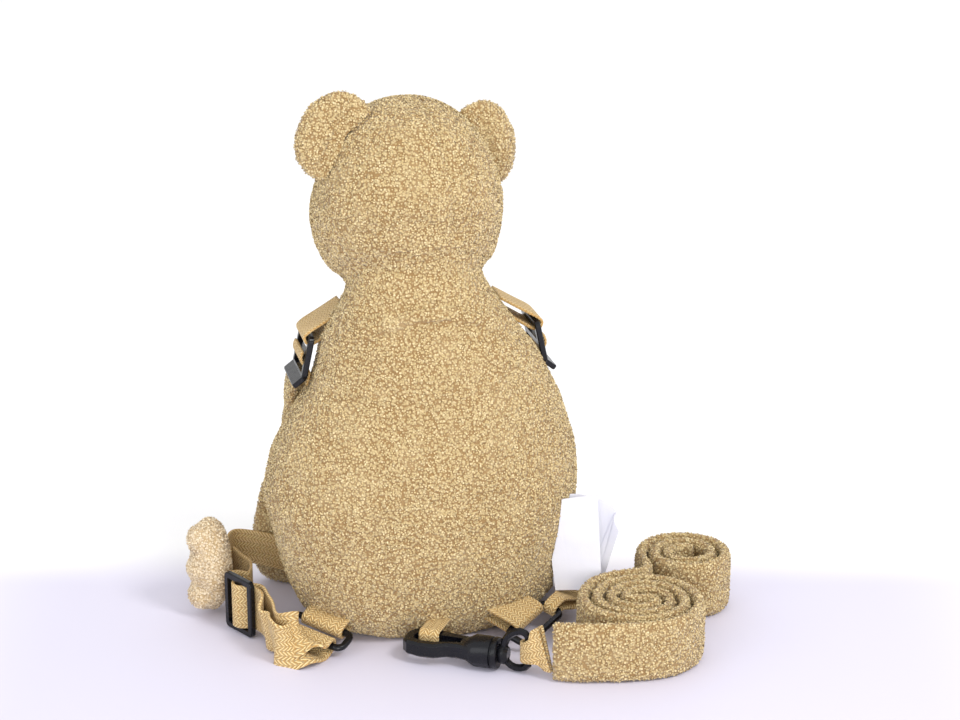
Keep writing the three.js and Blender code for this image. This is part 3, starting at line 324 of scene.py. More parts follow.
def swept(name, middles, sides, ring):
    """A closed skin along a line. ring(i, share) gives its section's points there, across and out of the strap."""
    along = np.gradient(middles, axis=0)
    along /= np.linalg.norm(along, axis=1)[:, None]
    sides = sides - (sides * along).sum(1)[:, None] * along
    sides /= np.linalg.norm(sides, axis=1)[:, None]
    outs = np.cross(along, sides)
    lengths = np.concatenate([[0], np.cumsum(np.linalg.norm(np.diff(middles, axis=0), axis=1))])
    points, uv = [], []
    for i in range(len(middles)):
        section = ring(i, lengths[i] / lengths[-1])
        for u, v in section:
            points.append(middles[i] + sides[i] * u + outs[i] * v)
            uv.append((u, lengths[i]))
    count = len(section)
    faces = []
    for i in range(len(middles) - 1):
        for j in range(count):
            a, b = i * count + j, i * count + (j + 1) % count
            faces.append((a, b, b + count, a + count))
    faces.append(tuple(range(count))[::-1])
    faces.append(tuple((len(middles) - 1) * count + j for j in range(count)))
    return mesh_object(name, points, faces, uv)


# Straps and lead, in mm. The routes are the CAD's: points are listed where a strap lies free, and the turns
# round a bar, a fitting or a coil are worked out from its size. A strap is its width and rows of its middle,
# the way its width runs there and its share of the width.

GAP = 0.35  # clearance between pieces that touch
BAR = 3.2  # thickness of the plastic bars
WEBBING_WIDTH, WEBBING_THICKNESS = 25.0, 1.5
BELT_WIDTH, ANCHOR_WIDTH = 20.0, 11.0
TAB_REACH = 24.0  # how far a tab runs back into its seam
WRAP = BAR * 0.65 + GAP + WEBBING_THICKNESS / 2  # from a bar's middle to the middle of the webbing on it
UP = np.array((0.0, 0.0, 1.0))
STRAPS = {}


def vector(*values):
    return np.array(values, dtype=float)


def unit(values):
    return values / np.linalg.norm(values)


def lay(node, width, rows):
    """Keeps a strap's route, its points to a tenth of a millimetre and its directions to a hundredth."""
    STRAPS[node] = (width, [(*np.round(at, 1), *np.round(across, 2), share) for at, across, share in rows])


def seam_loop(bar, away, up, across):
    """Webbing that comes out of a seam, goes round a bar and back into the seam."""
    turn = ((0, 1), (0.75, 0.72), (1, 0), (0.75, -0.72), (0, -1))
    sides = [(-TAB_REACH, WRAP), (-TAB_REACH / 2, WRAP)]
    sides += [(out * WRAP, over * WRAP) for out, over in turn]
    sides += [(-TAB_REACH / 2, -WRAP), (-TAB_REACH, -WRAP)]
    return [(bar + away * out + up * over, across, 1) for out, over in sides]


# Shoulders: a tab over the lock's upper bar, and webbing from its lower bars to the arm

LOCK_HEIGHT, LOCK_LEAN = 24.0, math.radians(12)
LOCK_PLACES = {"left": vector(-60.6, 15, 150), "right": vector(66, 15, 150)}
LOCK_BAR_STEP = (LOCK_HEIGHT - BAR) / 2
ARM_END = 133.46  # height of an arm's upper end
WEAVE_IN_LOCK = ((-2.6, 2.7), (0, 3.1), (2.4, 2.6), (5.2, 0), (8, -2.6), (LOCK_BAR_STEP, -3), (15.5, -2.8))


def shoulder_straps(name, place):
    side = 1 if name == "right" else -1
    down = vector(side * math.sin(LOCK_LEAN), 0, -math.cos(LOCK_LEAN))
    outward = vector(side * math.cos(LOCK_LEAN), 0, math.sin(LOCK_LEAN))
    across = vector(0, 1, 0)
    out_of_seam, over = unit(vector(side * 0.86, -0.05, -0.5)), unit(vector(side * 0.5, 0, 0.86))
    upper_bar = place - down * LOCK_BAR_STEP
    lay("shoulder_tab_" + name, WEBBING_WIDTH, seam_loop(upper_bar, out_of_seam, over, across))
    to_arm = [place + down * s + outward * n for s, n in WEAVE_IN_LOCK]
    to_arm[-1][2] = ARM_END + 3 * GAP
    lay("shoulder_webbing_" + name, WEBBING_WIDTH, [(at, across, 1) for at in to_arm])


for name, place in LOCK_PLACES.items():
    shoulder_straps(name, place)

# Sides: a belt from the clasp along the arm to the paw, then webbing through the slider, round the ring's
# bar and back to the slider. Its free stretches, "front" and "back", give the share of its turn to lie as on
# the bar, and of its width. The left side's rows began as listed points, and a random search then
# moved them so that the webbing folds over itself less. The right side's "front" may come from it too.

CLASP_WIDTH, CLASP_Y, CLASP_Z = 44.0, 43.0, 14.0
RING_WIDTH, RING_FALL = 16.0, 0.18
RING_LENGTH = WEBBING_WIDTH + 0.8 + 2 * BAR + 6
WEAVE_IN_SLIDER = (
    (-9.6, -12.7), (-14.5, -9.5), (-16, -5.5), (-11.2, -3), (-8, -2.6), (-5.2, 0), (-2.4, 2.6), (0, 3.1),
    (2.4, 2.6), (5.2, 0), (8, -2.6), (11.2, -3), (17, -2),
)
BACK_TO_SLIDER = ((10, -7.2), (4, -4.6), (-0.8, -2.9))
ROUND_RING = ((1.8, -0.95), (0, -1), (-0.75, -0.72), (-1, 0), (-0.75, 0.72), (0, 1), (1.4, 1.1))
SIDES = (
    {
        "name": "left", "side": -1, "long_bar": True, "gathered": 1,
        "slider": vector(-101.5, -6, 16.4), "slider_heading": -61.4,
        "ring": vector(-64, -36, 10), "ring_heading": -39,
        "belt": (
            (-32, 40, 14), (-44, 36, 15), (-56, 41.5, 17), (-66, 47.4, 19), (-78, 53, 21.5), (-89, 57.5, 23),
            (-96.5, 57, 24), (-101, 48, 24), (-101.8, 38, 24), (-101.6, 30, 24),
        ),
        "start": ((-99.3, 40, 19), (-96, 30, 18.3), (-92, 21, 17.2)),
        "front": (
            (-92, -32.8, 13.5, 0.23, 0.92), (-89.1, -38.7, 12.8, 0.23, 0.97), (-87.5, -50.9, 11.2, 0, 0.95),
            (-77.2, -50.2, 8.8, 0.54, 1),
        ),
        "back": (
            (-74.2, -47.7, 13.8, 0.6, 0.89), (-78.1, -48.4, 15.2, 0.49, 1), (-85.9, -42.3, 14.5, 0.05, 0.89),
            (-85.5, -31.5, 14.6, 0.15, 0.91), (-87.9, -21.8, 15.2, 0, 0.95),
        ),
    },
    {
        "name": "right", "side": 1, "long_bar": False, "gathered": 0.3,
        "slider": vector(91, -0.5, 16.4), "slider_heading": -118,
        "ring": vector(50, -52, 10), "ring_heading": -139,
        "belt": (
            (32, 39, 14), (42, 37, 15), (52, 40.5, 16.5), (60, 44, 18), (66.5, 46, 20), (69.4, 42, 22),
            (69.4, 36, 23), (69.4, 30, 24),
        ),
        "start": ((66.6, 41, 19), (66.6, 31, 18.3), (70.4, 22, 17.2)),
        "front": ((82.2, -19.5, 11.6, 0.42, 0.88), (78.9, -25.2, 9.4, 0.92, 0.64), (75.3, -30, 9.6, 0.97, 0.45)),
        "back": ((75, -27, 14.4, 0.95, 0.6), (81, -17.5, 15, 0.5, 0.85)),
    },
)


def ring_axes(heading, side):
    """The way a ring's length runs, the way out of the seam, and the way up from both."""
    length = unit(vector(math.cos(heading), math.sin(heading), -RING_FALL))
    away = vector(-length[1] * side, length[0] * side, -0.3)
    away = unit(away - length * away.dot(length))
    return length, away, np.cross(length, away) * side


def side_straps(row):
    name, side, ring = row["name"], row["side"], row["ring"]
    length, away, over = ring_axes(math.radians(row["ring_heading"]), side)
    bar_reach = (RING_WIDTH - BAR) / 2
    lay("bottom_tab_" + name, WEBBING_WIDTH, seam_loop(ring - away * bar_reach, away, over, length))

    if row["long_bar"]:
        bar, outwards, lies, wrap = ring + away * bar_reach, away, -length, WRAP + 0.6
    else:
        bar, outwards, lies, wrap = ring + length * (BAR - RING_LENGTH) / 2, -length, away, WRAP + 0.32
    heading = math.radians(row["slider_heading"])
    along = vector(math.cos(heading), math.sin(heading), 0)
    outward = vector(-along[1] * side, along[0] * side, 0)

    def in_slider(pairs):
        return [(row["slider"] + along * s + outward * n, UP, 1) for s, n in pairs]

    def free(points):
        return [(vector(x, y, z), unit(UP * (1 - share) + lies * share), wide) for x, y, z, share, wide in points]

    route = [(vector(*at), UP, 1) for at in row["start"]] + in_slider(WEAVE_IN_SLIDER) + free(row["front"])
    route += [(bar + outwards * out * wrap + over * lift * wrap, lies, row["gathered"]) for out, lift in ROUND_RING]
    route += free(row["back"]) + in_slider(BACK_TO_SLIDER)
    lay("side_webbing_" + name, WEBBING_WIDTH, route)
    clasp = (side * (CLASP_WIDTH / 2 + GAP), CLASP_Y - 1.5, CLASP_Z)
    lay("chest_belt_" + name, BELT_WIDTH, [(vector(*at), UP, 1) for at in (clasp, *row["belt"])])


for row in SIDES:
    side_straps(row)

# Hook: its own loop of webbing, from the seam round its inner side

HOOK_LENGTH, HOOK_WIDTH, HOOK_THICKNESS = 52.0, 20.0, 8.0
BARREL_DIAMETER = 17.0
HOOK_START = vector(-20.8, -54.7, BARREL_DIAMETER / 2 + GAP)
HOOK_HEADING = math.radians(-30.9)
HOOK_ALONG = vector(math.cos(HOOK_HEADING), math.sin(HOOK_HEADING), 0)
HOOK_OUT = vector(math.sin(HOOK_HEADING), -math.cos(HOOK_HEADING), 0)
ANCHOR_ALONG, ANCHOR_OUT = 12.6, -0.69 * HOOK_WIDTH / 2
ANCHOR_HALF = 0.31 * HOOK_WIDTH / 2 + GAP + WEBBING_THICKNESS / 2 + 0.8
ANCHOR_RISE = HOOK_THICKNESS / 2 + GAP + WEBBING_THICKNESS / 2 + 0.5
FROM_SEAM = ((-34, 0.7), (-20, 0.9), (-8, 1), (0, 1))
ROUND_HOOK = ((0.55, 1), (0.95, 0.8), (1.05, 0.3))
anchor = [*FROM_SEAM, *((out * ANCHOR_HALF, rise) for out, rise in ROUND_HOOK)]
anchor += [(out, -rise) for out, rise in anchor[::-1]]
lay("anchor_loop", ANCHOR_WIDTH, [
    (HOOK_START + HOOK_ALONG * ANCHOR_ALONG + HOOK_OUT * (ANCHOR_OUT + out) + UP * rise * ANCHOR_RISE, HOOK_ALONG, 1)
    for out, rise in anchor
])

# Lead: a padded strap on edge, wound double in the near coil and single in the far one

LEAD_WIDTH, LEAD_THICKNESS = 33.0, 6.4
LEAD_LAYER = 7.6  # from one turn of a coil to the next
COIL_STEP = 22.5  # degrees
NEAR_COIL = {"at": vector(101, -78), "start": -100, "turns": 1.7, "radius": 34.0, "layers": 2, "way": 1}
FAR_COIL = {"at": vector(143.2, -24.6), "start": 180, "turns": 2.4, "radius": 25.5, "layers": 1, "way": -1}
LEAD_START = ((47.4, -101.9), (59, -105.8), (70.6, -108.6), (83, -110.8))
LEAD_CROSSING = ((112.5, -43.2), (116.6, -38.2), (117.6, -31.5))


def coil(at, start, turns, radius, layers, way):
    """Places on a coil, from its rim inwards, seen from its middle."""
    for i in range(round(turns * 360 / COIL_STEP) + 1):
        angle = math.radians(start + way * i * COIL_STEP)
        yield vector(math.cos(angle), math.sin(angle)) * (radius - layers * LEAD_LAYER * i * COIL_STEP / 360)


def lead_route():
    strand = list(coil(**NEAR_COIL))
    last = strand[-1]
    tangent = vector(-last[1], last[0])
    bight = [last * share * 0.8 + tangent * share * 0.42 for share in (0.62, 0, -0.62)]
    near = [NEAR_COIL["at"] + at for at in strand + bight + [-at for at in strand[::-1]]]
    far = [FAR_COIL["at"] + at for at in coil(**FAR_COIL)]
    return [tuple(np.round(at, 1)) for at in (*LEAD_START, *near, *LEAD_CROSSING, *far)]


LEAD = lead_route()

# The lead's webbing, gathered round the bar of the swivel's loop

LOOP_WIRE, LOOP_END = 4.2, 15.5
LOOP_WRAP = LOOP_WIRE / 2 + GAP + WEBBING_THICKNESS / 2 + 0.15


def lead_webbing():
    bar = HOOK_START + HOOK_ALONG * (HOOK_LENGTH + LOOP_END)
    to_lead = vector(*LEAD_START[0], bar[2]) - bar
    reach = np.linalg.norm(to_lead) - 5
    to_lead = unit(to_lead)
    beside_lead = vector(to_lead[1], -to_lead[0], 0)
    back = [  # along the webbing, out from its middle, and its share of the width
        (-LOOP_WRAP * 0.72, LOOP_WRAP * 0.72, 0.44), (0, LOOP_WRAP, 0.45), (5, LOOP_WRAP, 0.55),
        (reach * 0.65, 2.1, 0.9), (reach, 1.3, 1),
    ]
    rows = [(u, -v, wide) for u, v, wide in back[::-1]] + [(-LOOP_WRAP, 0, 0.44)] + back
    lay("leash_webbing", WEBBING_WIDTH, [
        (bar + to_lead * u + beside_lead * v + UP * (3.6 + max(0, u / reach) * 4.2), UP, wide) for u, v, wide in rows
    ])


lead_webbing()


STRAP_STEPS = 8  # between two points of a strap's route
STRAP_SHARES = (-1, -0.97, -0.85, -0.5, 0, 0.5, 0.85, 0.97, 1)  # places across a strap
EDGE_THINNING = 0.75


def strap(node):
    width, rows = STRAPS[node]
    path = spline([row[:3] for row in rows], STRAP_STEPS)
    turns = spline([row[3:6] for row in rows], STRAP_STEPS)
    wide = spline([(row[6], 0, 0) for row in rows], STRAP_STEPS)[:, 0]
    half, edge = width / 2, WEBBING_THICKNESS / 2

    def ring(i, share):
        under = [(s * half * wide[i], -edge * (1 - EDGE_THINNING * (abs(s) == 1))) for s in STRAP_SHARES]
        over = [(s * half * wide[i], edge * (1 - EDGE_THINNING * (abs(s) == 1))) for s in STRAP_SHARES[::-1]]
        return [(u * MM, v * MM) for u, v in under + over]

    made = swept(node + "_cloth", path * MM, turns, ring)
    paint(made, WEBBING)
    return done(made, [node])


# Curls that stand on a piece of plush


CURL_ROWS = ((-0.4, -0.2, 0.45), (-0.1, 0.7, 0.62), (0.65, 0.3, 0.42))  # out, up and half width, in curl heights
CURL_LEAN = 0.7  # radians either way
CURL_SIZES = (0.7, 1.25)
CURL_DENSITY = 1.2e6  # most curls to a square metre
SIZE_SEED, TONE_SEED = 7, 11


def curl_mesh():
    """One curl: a little blade that bends over."""
    points, faces, rise = [], [], []
    for i, (out, up, wide) in enumerate(CURL_ROWS):
        points += [(out, -wide, up), (out, wide, up)]
        rise += [i / 2, i / 2]
        if i:
            a = 2 * i
            faces.append((a - 2, a, a + 1, a - 1))
    made = mesh_object("one_curl", points, faces)
    layer = made.data.attributes.new("rise", "FLOAT", "POINT")
    layer.data.foreach_set("value", np.array(rise, dtype=np.float32))
    made.hide_render = True
    return made


CURL = curl_mesh()


def enabled_input(node, name):
    return next(socket for socket in node.inputs if socket.enabled and socket.name == name)


def value_of(node):
    """The value that a random node gives in its present type."""
    return next(socket for socket in node.outputs if socket.enabled and socket.name == "Value")


# Where the pocket's inside lies, in mm: no curls grow there
POCKET_MIDDLE = (0.0, -25.0, 100.0)
POCKET_HALF_WIDTH, POCKET_DEPTH, POCKET_FLOOR, POCKET_TOP = 46, 50, 15, 184


def outer_part(skin, name, low, high):
    """The faces of a skin between two heights, in mm, without those inside the pocket."""
    mesh = skin.data.copy()
    made = bpy.data.objects.new(name, mesh)
    bpy.context.scene.collection.objects.link(made)
    cut = bmesh.new()
    cut.from_mesh(mesh)
    middle = Vector(POCKET_MIDDLE) * MM
    left_out = []
    for face in cut.faces:
        at = face.calc_center_median()
        x, y, z = at / MM
        pocket = abs(x) < POCKET_HALF_WIDTH and -POCKET_DEPTH < y < 0 and POCKET_FLOOR < z < POCKET_TOP
        if not low <= z < high or (pocket and face.normal.dot(middle - at) > 0):
            left_out.append(face)
    bmesh.ops.delete(cut, geom=left_out, context="FACES")
    cut.to_mesh(mesh)
    cut.free()
    return made


def curls_on(skin, name, material, spacing, height, seed):
    """Curls scattered over a skin, each turned, leaning and toned in its own way."""
    tree = bpy.data.node_groups.new(name + "_growth", "GeometryNodeTree")
    tree.interface.new_socket("Skin", in_out="INPUT", socket_type="NodeSocketGeometry")
    tree.interface.new_socket("Curls", in_out="OUTPUT", socket_type="NodeSocketGeometry")
    numbers = {
        "Spacing": ("NodeSocketFloat", spacing * MM),
        "Height": ("NodeSocketFloat", height * MM),
        "Lean": ("NodeSocketFloat", CURL_LEAN),
        "Seed": ("NodeSocketInt", seed),
    }
    sockets = {
        key: tree.interface.new_socket(key, in_out="INPUT", socket_type=kind) for key, (kind, _) in numbers.items()
    }

    def add(kind, settings=None, values=None):
        node = tree.nodes.new(kind)
        for key, value in (settings or {}).items():
            setattr(node, key, value)
        for key, value in (values or {}).items():
            socket = node.inputs[key] if isinstance(key, int) else enabled_input(node, key)
            if isinstance(value, bpy.types.NodeSocket):
                tree.links.new(value, socket)
            else:
                socket.default_value = value
        return node

    given = add("NodeGroupInput")
    spread = add(
        "GeometryNodeDistributePointsOnFaces",
        {"distribute_method": "POISSON"},
        {
            "Mesh": given.outputs["Skin"], "Distance Min": given.outputs["Spacing"],
            "Density Max": CURL_DENSITY, "Seed": given.outputs["Seed"],
        },
    )
    lean = add("ShaderNodeMath", {"operation": "MULTIPLY"}, {0: given.outputs["Lean"], 1: -1.0})
    low = add("ShaderNodeCombineXYZ", {}, {0: lean.outputs[0], 1: lean.outputs[0], 2: -3.2})
    high = add("ShaderNodeCombineXYZ", {}, {0: given.outputs["Lean"], 1: given.outputs["Lean"], 2: 3.2})
    angles = add(
        "FunctionNodeRandomValue",
        {"data_type": "FLOAT_VECTOR"},
        {"Min": low.outputs[0], "Max": high.outputs[0], "Seed": given.outputs["Seed"]},
    )
    turn = add("FunctionNodeEulerToRotation", {}, {0: value_of(angles)})
    both = add(
        "FunctionNodeRotateRotation",
        {"rotation_space": "LOCAL"},
        {0: spread.outputs["Rotation"], 1: turn.outputs[0]},
    )
    smallest, largest = CURL_SIZES
    size = add(
        "FunctionNodeRandomValue", {"data_type": "FLOAT"}, {"Min": smallest, "Max": largest, "Seed": SIZE_SEED}
    )
    scaled = add("ShaderNodeMath", {"operation": "MULTIPLY"}, {0: value_of(size), 1: given.outputs["Height"]})
    shape = add("GeometryNodeObjectInfo", {}, {"Object": CURL})
    placed = add(
        "GeometryNodeInstanceOnPoints",
        {},
        {
            "Points": spread.outputs["Points"], "Instance": shape.outputs["Geometry"],
            "Rotation": both.outputs[0], "Scale": scaled.outputs[0],
        },
    )
    tone = add("FunctionNodeRandomValue", {"data_type": "FLOAT"}, {"Min": 0.0, "Max": 1.0, "Seed": TONE_SEED})
    stored = add(
        "GeometryNodeStoreNamedAttribute",
        {"data_type": "FLOAT", "domain": "INSTANCE"},
        {"Geometry": placed.outputs[0], "Name": "tone", "Value": value_of(tone)},
    )
    real = add("GeometryNodeRealizeInstances", {}, {"Geometry": stored.outputs[0]})
    dressed = add("GeometryNodeSetMaterial", {}, {"Geometry": real.outputs[0], "Material": material})
    add("NodeGroupOutput", {}, {0: dressed.outputs[0]})

    made = bpy.data.objects.new(name, skin.data.copy())
    bpy.context.scene.collection.objects.link(made)
    modifier = made.modifiers.new("growth", "NODES")
    modifier.node_group = tree
    for key, (_, value) in numbers.items():
        modifier[sockets[key].identifier] = value
    graph = bpy.context.evaluated_depsgraph_get()
    mesh = bpy.data.meshes.new_from_object(made.evaluated_get(graph))
    made.modifiers.clear()
    made.data = mesh
    return made


# Plush skins


def joined(nodes, name, grow):
    """Copies of CAD nodes in one mesh, each grown a little so that they meet."""
    points, faces = [], []
    for node in nodes:
        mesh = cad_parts[node].data
        first = len(points)
        points += [vertex.co + vertex.normal * grow * MM for vertex in mesh.vertices]
        faces += [[first + v for v in face.vertices] for face in mesh.polygons]
    return mesh_object(name, points, faces)


def shaped(nodes, name, voxel, rounds, relief, grow=0.0):
    """The skin of CAD nodes made soft: one even net, eased, then moved along its normals by relief, in mm."""
    made = applied(
        joined(nodes, name, grow),
        ("REMESH", {"mode": "VOXEL", "voxel_size": voxel * MM, "use_smooth_shade": True}),
        ("SMOOTH", {"factor": 0.6, "iterations": rounds}),
    )
    mesh = made.data
    count = len(mesh.vertices)
    points, normals = np.empty(count * 3), np.empty(count * 3)
    mesh.vertices.foreach_get("co", points)
    mesh.vertices.foreach_get("normal", normals)
    points, normals = points.reshape(-1, 3), normals.reshape(-1, 3)
    push = np.array([relief(*(p / MM)) for p in points])
    points += normals * push[:, None] * MM
    mesh.vertices.foreach_set("co", points.ravel())
    mesh.update()
    mesh.shade_smooth()
    return made


def rolling(x, y, z, size, seed=0.0):
    return noise.noise(Vector((x / size + seed, y / size, z / size)))


def groove(distance, half_width, depth):
    return -depth * math.exp(-((distance / half_width) ** 2))


# Places of the seams and dents, in mm
NECK_HEIGHT, NECK_SLOPE, NECK_MIDDLE = 194, 0.46, 6
HEAD_MIDDLE, HEAD_TURN = (-5, 9), math.radians(10)
ARCH_HEIGHT, ARCH_DROP, ARCH_HALF, WELT_HALF = 182, 13, 38, 46


def body_relief(x, y, z):
    """Dents, the side seams, the puckers under the seat, the full upper back and the crease at its top."""
    push = 0.9 * rolling(x, y, z, 38) + 0.45 * rolling(x, y, z, 15, 9.0)
    side = abs(y) if abs(x) > 40 else 99.0
    push += groove(side, 2.4, 0.9)
    if y < 0:
        push += groove(math.hypot(x + 12, z - 8) - 6, 4.0, 0.8)
        push += 1.2 * math.exp(-(((x - 4) / 34) ** 2) - ((z - 152) / 16) ** 2)
        push += groove(z - 200 + 0.1 * x, 3.0, 1.0)
    return push


def head_relief(x, y, z):
    """Dents, and the seam down the back of the head."""
    turned_x = (x - HEAD_MIDDLE[0]) * math.cos(HEAD_TURN) + (y - HEAD_MIDDLE[1]) * math.sin(HEAD_TURN)
    push = 0.8 * rolling(x, y, z, 30, 3.0) + 0.4 * rolling(x, y, z, 12, 5.0)
    if y < 5:
        push += groove(turned_x - 8.5 + (z - 240) * 0.05, 2.0, 1.3)
    return push


def small_relief(x, y, z):
    return 0.7 * rolling(x, y, z, 18, 2.0) + 0.35 * rolling(x, y, z, 8, 6.0)


def pile_on(skin, name, curls, spacing, height, seed):
    pile = curls_on(skin, name, curls, spacing, height, seed)
    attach(pile, "root")


def plush(node, name, voxel, rounds, relief, spacing, height, seed, cloth=CLOTH, curls=CURLS, slot="plush"):
    skin = shaped([node], name, voxel, rounds, relief)
    paint(skin, cloth)
    done(skin, [node])
    pile_on(skin, name + "_curls", curls, spacing, height, seed)


def bear_relief(x, y, z):
    """Body below the neck seam and head above it, with the seam itself and the two lines along the pocket's mouth."""
    neck = NECK_HEIGHT - NECK_SLOPE * (y - NECK_MIDDLE)
    share = 1 / (1 + math.exp(-(z - neck) / 2))
    push = body_relief(x, y, z) * (1 - share) + head_relief(x, y, z) * share
    push += groove(z - neck, 2.2, 1.0)
    if y < 0 and abs(x) < WELT_HALF:
        arch = ARCH_HEIGHT - ARCH_DROP * (x / ARCH_HALF) ** 2
        lines = groove(z - arch - 3.5, 1.3, 1.1) + groove(z - arch + 5.5, 1.3, 1.1)
        push += lines * (1 - (abs(x) / WELT_HALF) ** 6)
    return push


BEAR = ["body", "head", "pocket_welt"]
bear = shaped(BEAR, "stuffed_bear", 2.0, 3, bear_relief, 0.35)
paint(bear, CLOTH)
done(bear, BEAR)
BEAR_PARTS = (("seat", -5, 75, 1), ("middle", 75, 150, 2), ("shoulders", 150, 400, 3))  # name, heights, seed
for name, low, high, seed in BEAR_PARTS:
    part = outer_part(bear, "bear_" + name, low, high)
    pile_on(part, "bear_" + name + "_curls", CURLS, 1.0, 0.85, seed)
    bpy.data.objects.remove(part)


def ear_relief(x, y, z):
    """Dents, and a fold down the back of the left ear."""
    push = small_relief(x, y, z)
    if x < 0 and y < 0:
        push += groove((x + 38) * 0.8 + (z - 272) * 0.6, 4.5, 1.6)
    return push


PLUSH_PIECES = (  # node, remesh size, smoothing, relief, curl spacing and height, seed
    ("ear_left", 1.3, 3, ear_relief, 1.0, 0.85, 13),
    ("ear_right", 1.3, 3, ear_relief, 1.0, 0.85, 14),
    ("arm_left", 1.8, 4, small_relief, 1.05, 0.85, 5),
    ("arm_right", 1.8, 4, small_relief, 1.05, 0.85, 6),
)
for node, *form in PLUSH_PIECES:
    plush(node, "soft_" + node, *form)
# The paws wear the paler copy of the sandy plush: painted light
plush("paw_left", "soft_paw_left", 1.5, 4, small_relief, 1.0, 0.85, 7, PAINTED_LIT_PAW_CLOTH, PAINTED_LIT_PAW_CURLS)
plush("paw_right", "soft_paw_right", 1.5, 4, small_relief, 1.0, 0.85, 8, PAINTED_LIT_PAW_CLOTH, PAINTED_LIT_PAW_CURLS)
plush("muzzle", "soft_muzzle", 1.5, 3, small_relief, 1.05, 0.8, 9, PALE_CLOTH, PALE_CURLS, "pale_plush")

LEAD_HEIGHT = LEAD_WIDTH / 2 + GAP  # of the lead's middle over the floor
LEAD_STEPS, LEAD_SIDES = 4, 16
LEAD_CREASED = 0.16  # share of the lead, from its start, that has creases


def lead():
    """The padded lead: a soft band on edge along its path, a little gathered where it starts."""
    path = spline([(x, y, LEAD_HEIGHT) for x, y in LEAD], LEAD_STEPS)
    rise = np.tile((0.0, 0.0, 1.0), (len(path), 1))
    angles = np.linspace(0, 2 * math.pi, LEAD_SIDES, endpoint=False) + math.pi / LEAD_SIDES

    def ring(i, share):
        near = min(1.0, 0.5 + 50 * min(share, 1 - share))
        section = []
        x, y, _ = path[i]
        for angle in angles:
            u = math.copysign(abs(math.cos(angle)) ** 0.35, math.cos(angle)) * (LEAD_WIDTH / 2 - 0.5)
            v = math.copysign(abs(math.sin(angle)) ** 0.8, math.sin(angle)) * (LEAD_THICKNESS / 2 - 0.4) * near
            crease = 0.35 * noise.noise(Vector((x / 7, y / 7, u / 22)))
            section.append((u * MM, (v + crease * (share < LEAD_CREASED)) * MM))
        return section

    made = swept("padded_lead", path * MM, rise, ring)
    paint(made, CLOTH)
    done(made, ["leash"])
    pile_on(made, "padded_lead_curls", CURLS, 1.1, 0.85, 12)


lead()
for node in STRAPS:
    strap(node)


# Fittings, label, eyes, nose and zip


# Corners of a faceted piece this close are one
WELD = ("WELD", {"merge_threshold": 0.00002})
SMOOTHED_BEAD = ("SUBSURF", {"levels": 2, "render_levels": 2})


def fitting(node, name, material=PLASTIC, edge=0.35):
    """A hard piece, or a label's leaf, with its edges rounded by edge mm."""
    rounded = {
        "width": edge * MM, "segments": 2, "limit_method": "ANGLE", "angle_limit": math.radians(28),
        "use_clamp_overlap": True,
    }
    made = applied(
        copy_of(node, name),
        WELD,
        ("BEVEL", rounded),
        ("WEIGHTED_NORMAL", {"keep_sharp": False}),
    )
    paint(made, material)
    return done(made, [node])


def bead(node):
    """An eye or the nose. Its facets are joined first: subdivided one by one, they would draw apart."""
    made = applied(copy_of(node, "glossy_" + node), WELD, SMOOTHED_BEAD)
    paint(made, PLASTIC)
    done(made, [node])


for side in ("left", "right"):
    fitting("ladder_lock_" + side, "moulded_lock_" + side)
    fitting("slider_" + side, "moulded_slider_" + side)
    fitting("ring_" + side, "moulded_ring_" + side)
    bead("eye_" + side)
fitting("snap_hook", "moulded_hook", edge=0.3)
fitting("swivel_loop", "moulded_loop", edge=0.3)
fitting("chest_clasp", "moulded_clasp")
bead("nose")
fitting("pocket_zip", "woven_zip", ZIP, 0.2)
for end in ("front", "back"):
    leaf = fitting("care_label_" + end, "label_leaf_" + end, LABEL, 0.15)
bpy.data.objects.remove(CURL)


# Floor, light and camera


VIEW_TURN = math.radians(13)  # of the camera, round the bear
FLOOR_EDGE, FLOOR_HALF_WIDTH, FLOOR_MIDDLE = (0.03, 0.10), (0.22, 0.42), 0.03  # metres, where the floor fades
FLOOR_REACH = 6  # metres


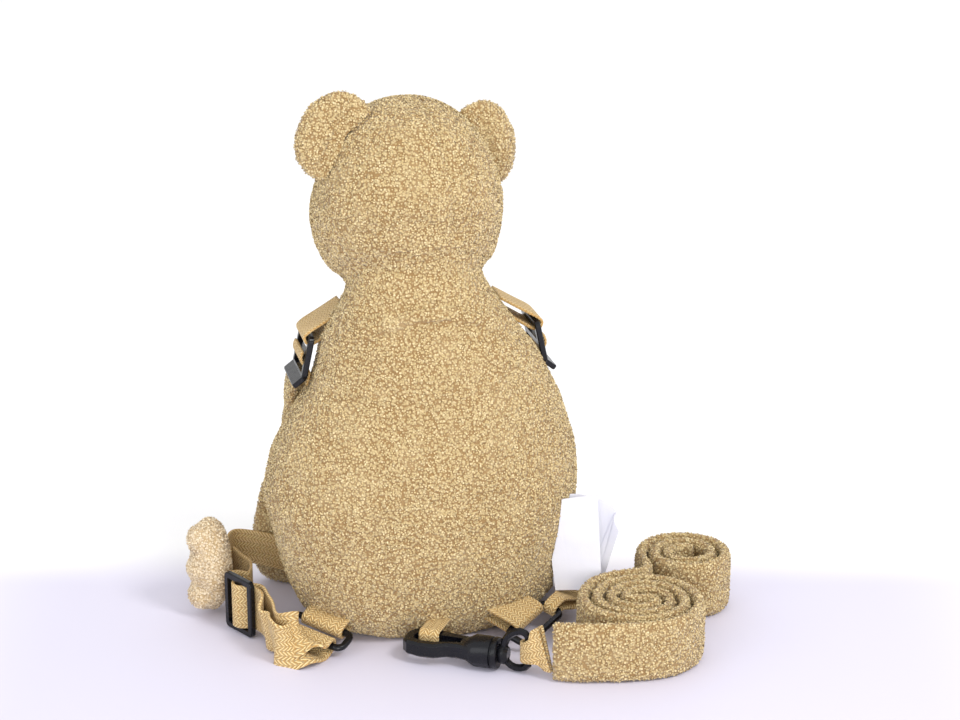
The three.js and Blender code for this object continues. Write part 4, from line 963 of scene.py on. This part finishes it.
def floor_cloth():
    """A pale lilac floor that fades to white behind the bear and at its sides."""
    net = Net("pale floor")
    x, y, _ = net.parts(net.place())
    ahead, aside = round(math.cos(VIEW_TURN), 4), round(math.sin(VIEW_TURN), 4)
    far = (y * ahead + x * aside).ramp(*FLOOR_EDGE)
    side = (x * ahead - y * aside - FLOOR_MIDDLE).abs().ramp(*FLOOR_HALF_WIDTH)
    tone = net.mix(1.0 - (1.0 - far) * (1.0 - side), colour(214, 211, 228), colour(253, 253, 255))
    return net.surface(base_color=tone, roughness=0.6)


corners = [(x * FLOOR_REACH, y * FLOOR_REACH, 0) for x, y in ((-1, -1), (1, -1), (1, 1), (-1, 1))]
floor = mesh_object("floor", corners, [(0, 1, 2, 3)], smooth=False)
paint(floor, floor_cloth())

world = bpy.data.worlds.new("white room")
bpy.context.scene.world = world
bpy.context.scene.view_settings.view_transform = "Standard"
world.use_nodes = True
backdrop = world.node_tree.nodes["Background"].inputs
backdrop["Color"].default_value = (1.0, 1.0, 1.0, 1.0)
backdrop["Strength"].default_value = 1.0


def lamp(name, place, target, size, power, tint):
    data = bpy.data.lights.new(name, "AREA")
    data.shape, data.size, data.energy, data.color = "DISK", size, power, tint
    made = bpy.data.objects.new(name, data)
    made.location = place
    made.rotation_euler = (Vector(target) - Vector(place)).to_track_quat("-Z", "Y").to_euler()
    bpy.context.scene.collection.objects.link(made)


# name, place, target, size in metres, watts and tint
lamp("key", (0.75, -1.1, 1.5), (0.0, 0.0, 0.12), 0.55, 15.0, (1.0, 0.98, 0.95))
lamp("fill", (-1.3, -0.9, 0.7), (0.0, 0.0, 0.12), 1.0, 4.0, (0.93, 0.95, 1.0))
lamp("front", (-0.2, -1.3, 0.2), (0.0, 0.0, 0.06), 0.8, 8.0, (1.0, 0.98, 0.97))

LENS = 84.6  # millimetres
CAMERA_PLACE, CAMERA_TARGET = (-0.226, -1.119, 0.516), (0.0306, -0.0071, 0.145)
camera = bpy.data.objects.new("camera", bpy.data.cameras.new("camera"))
camera.data.lens = LENS
camera.location = CAMERA_PLACE
camera.rotation_euler = (Vector(CAMERA_TARGET) - camera.location).to_track_quat("-Z", "Y").to_euler()
bpy.context.scene.collection.objects.link(camera)
bpy.context.scene.camera = camera
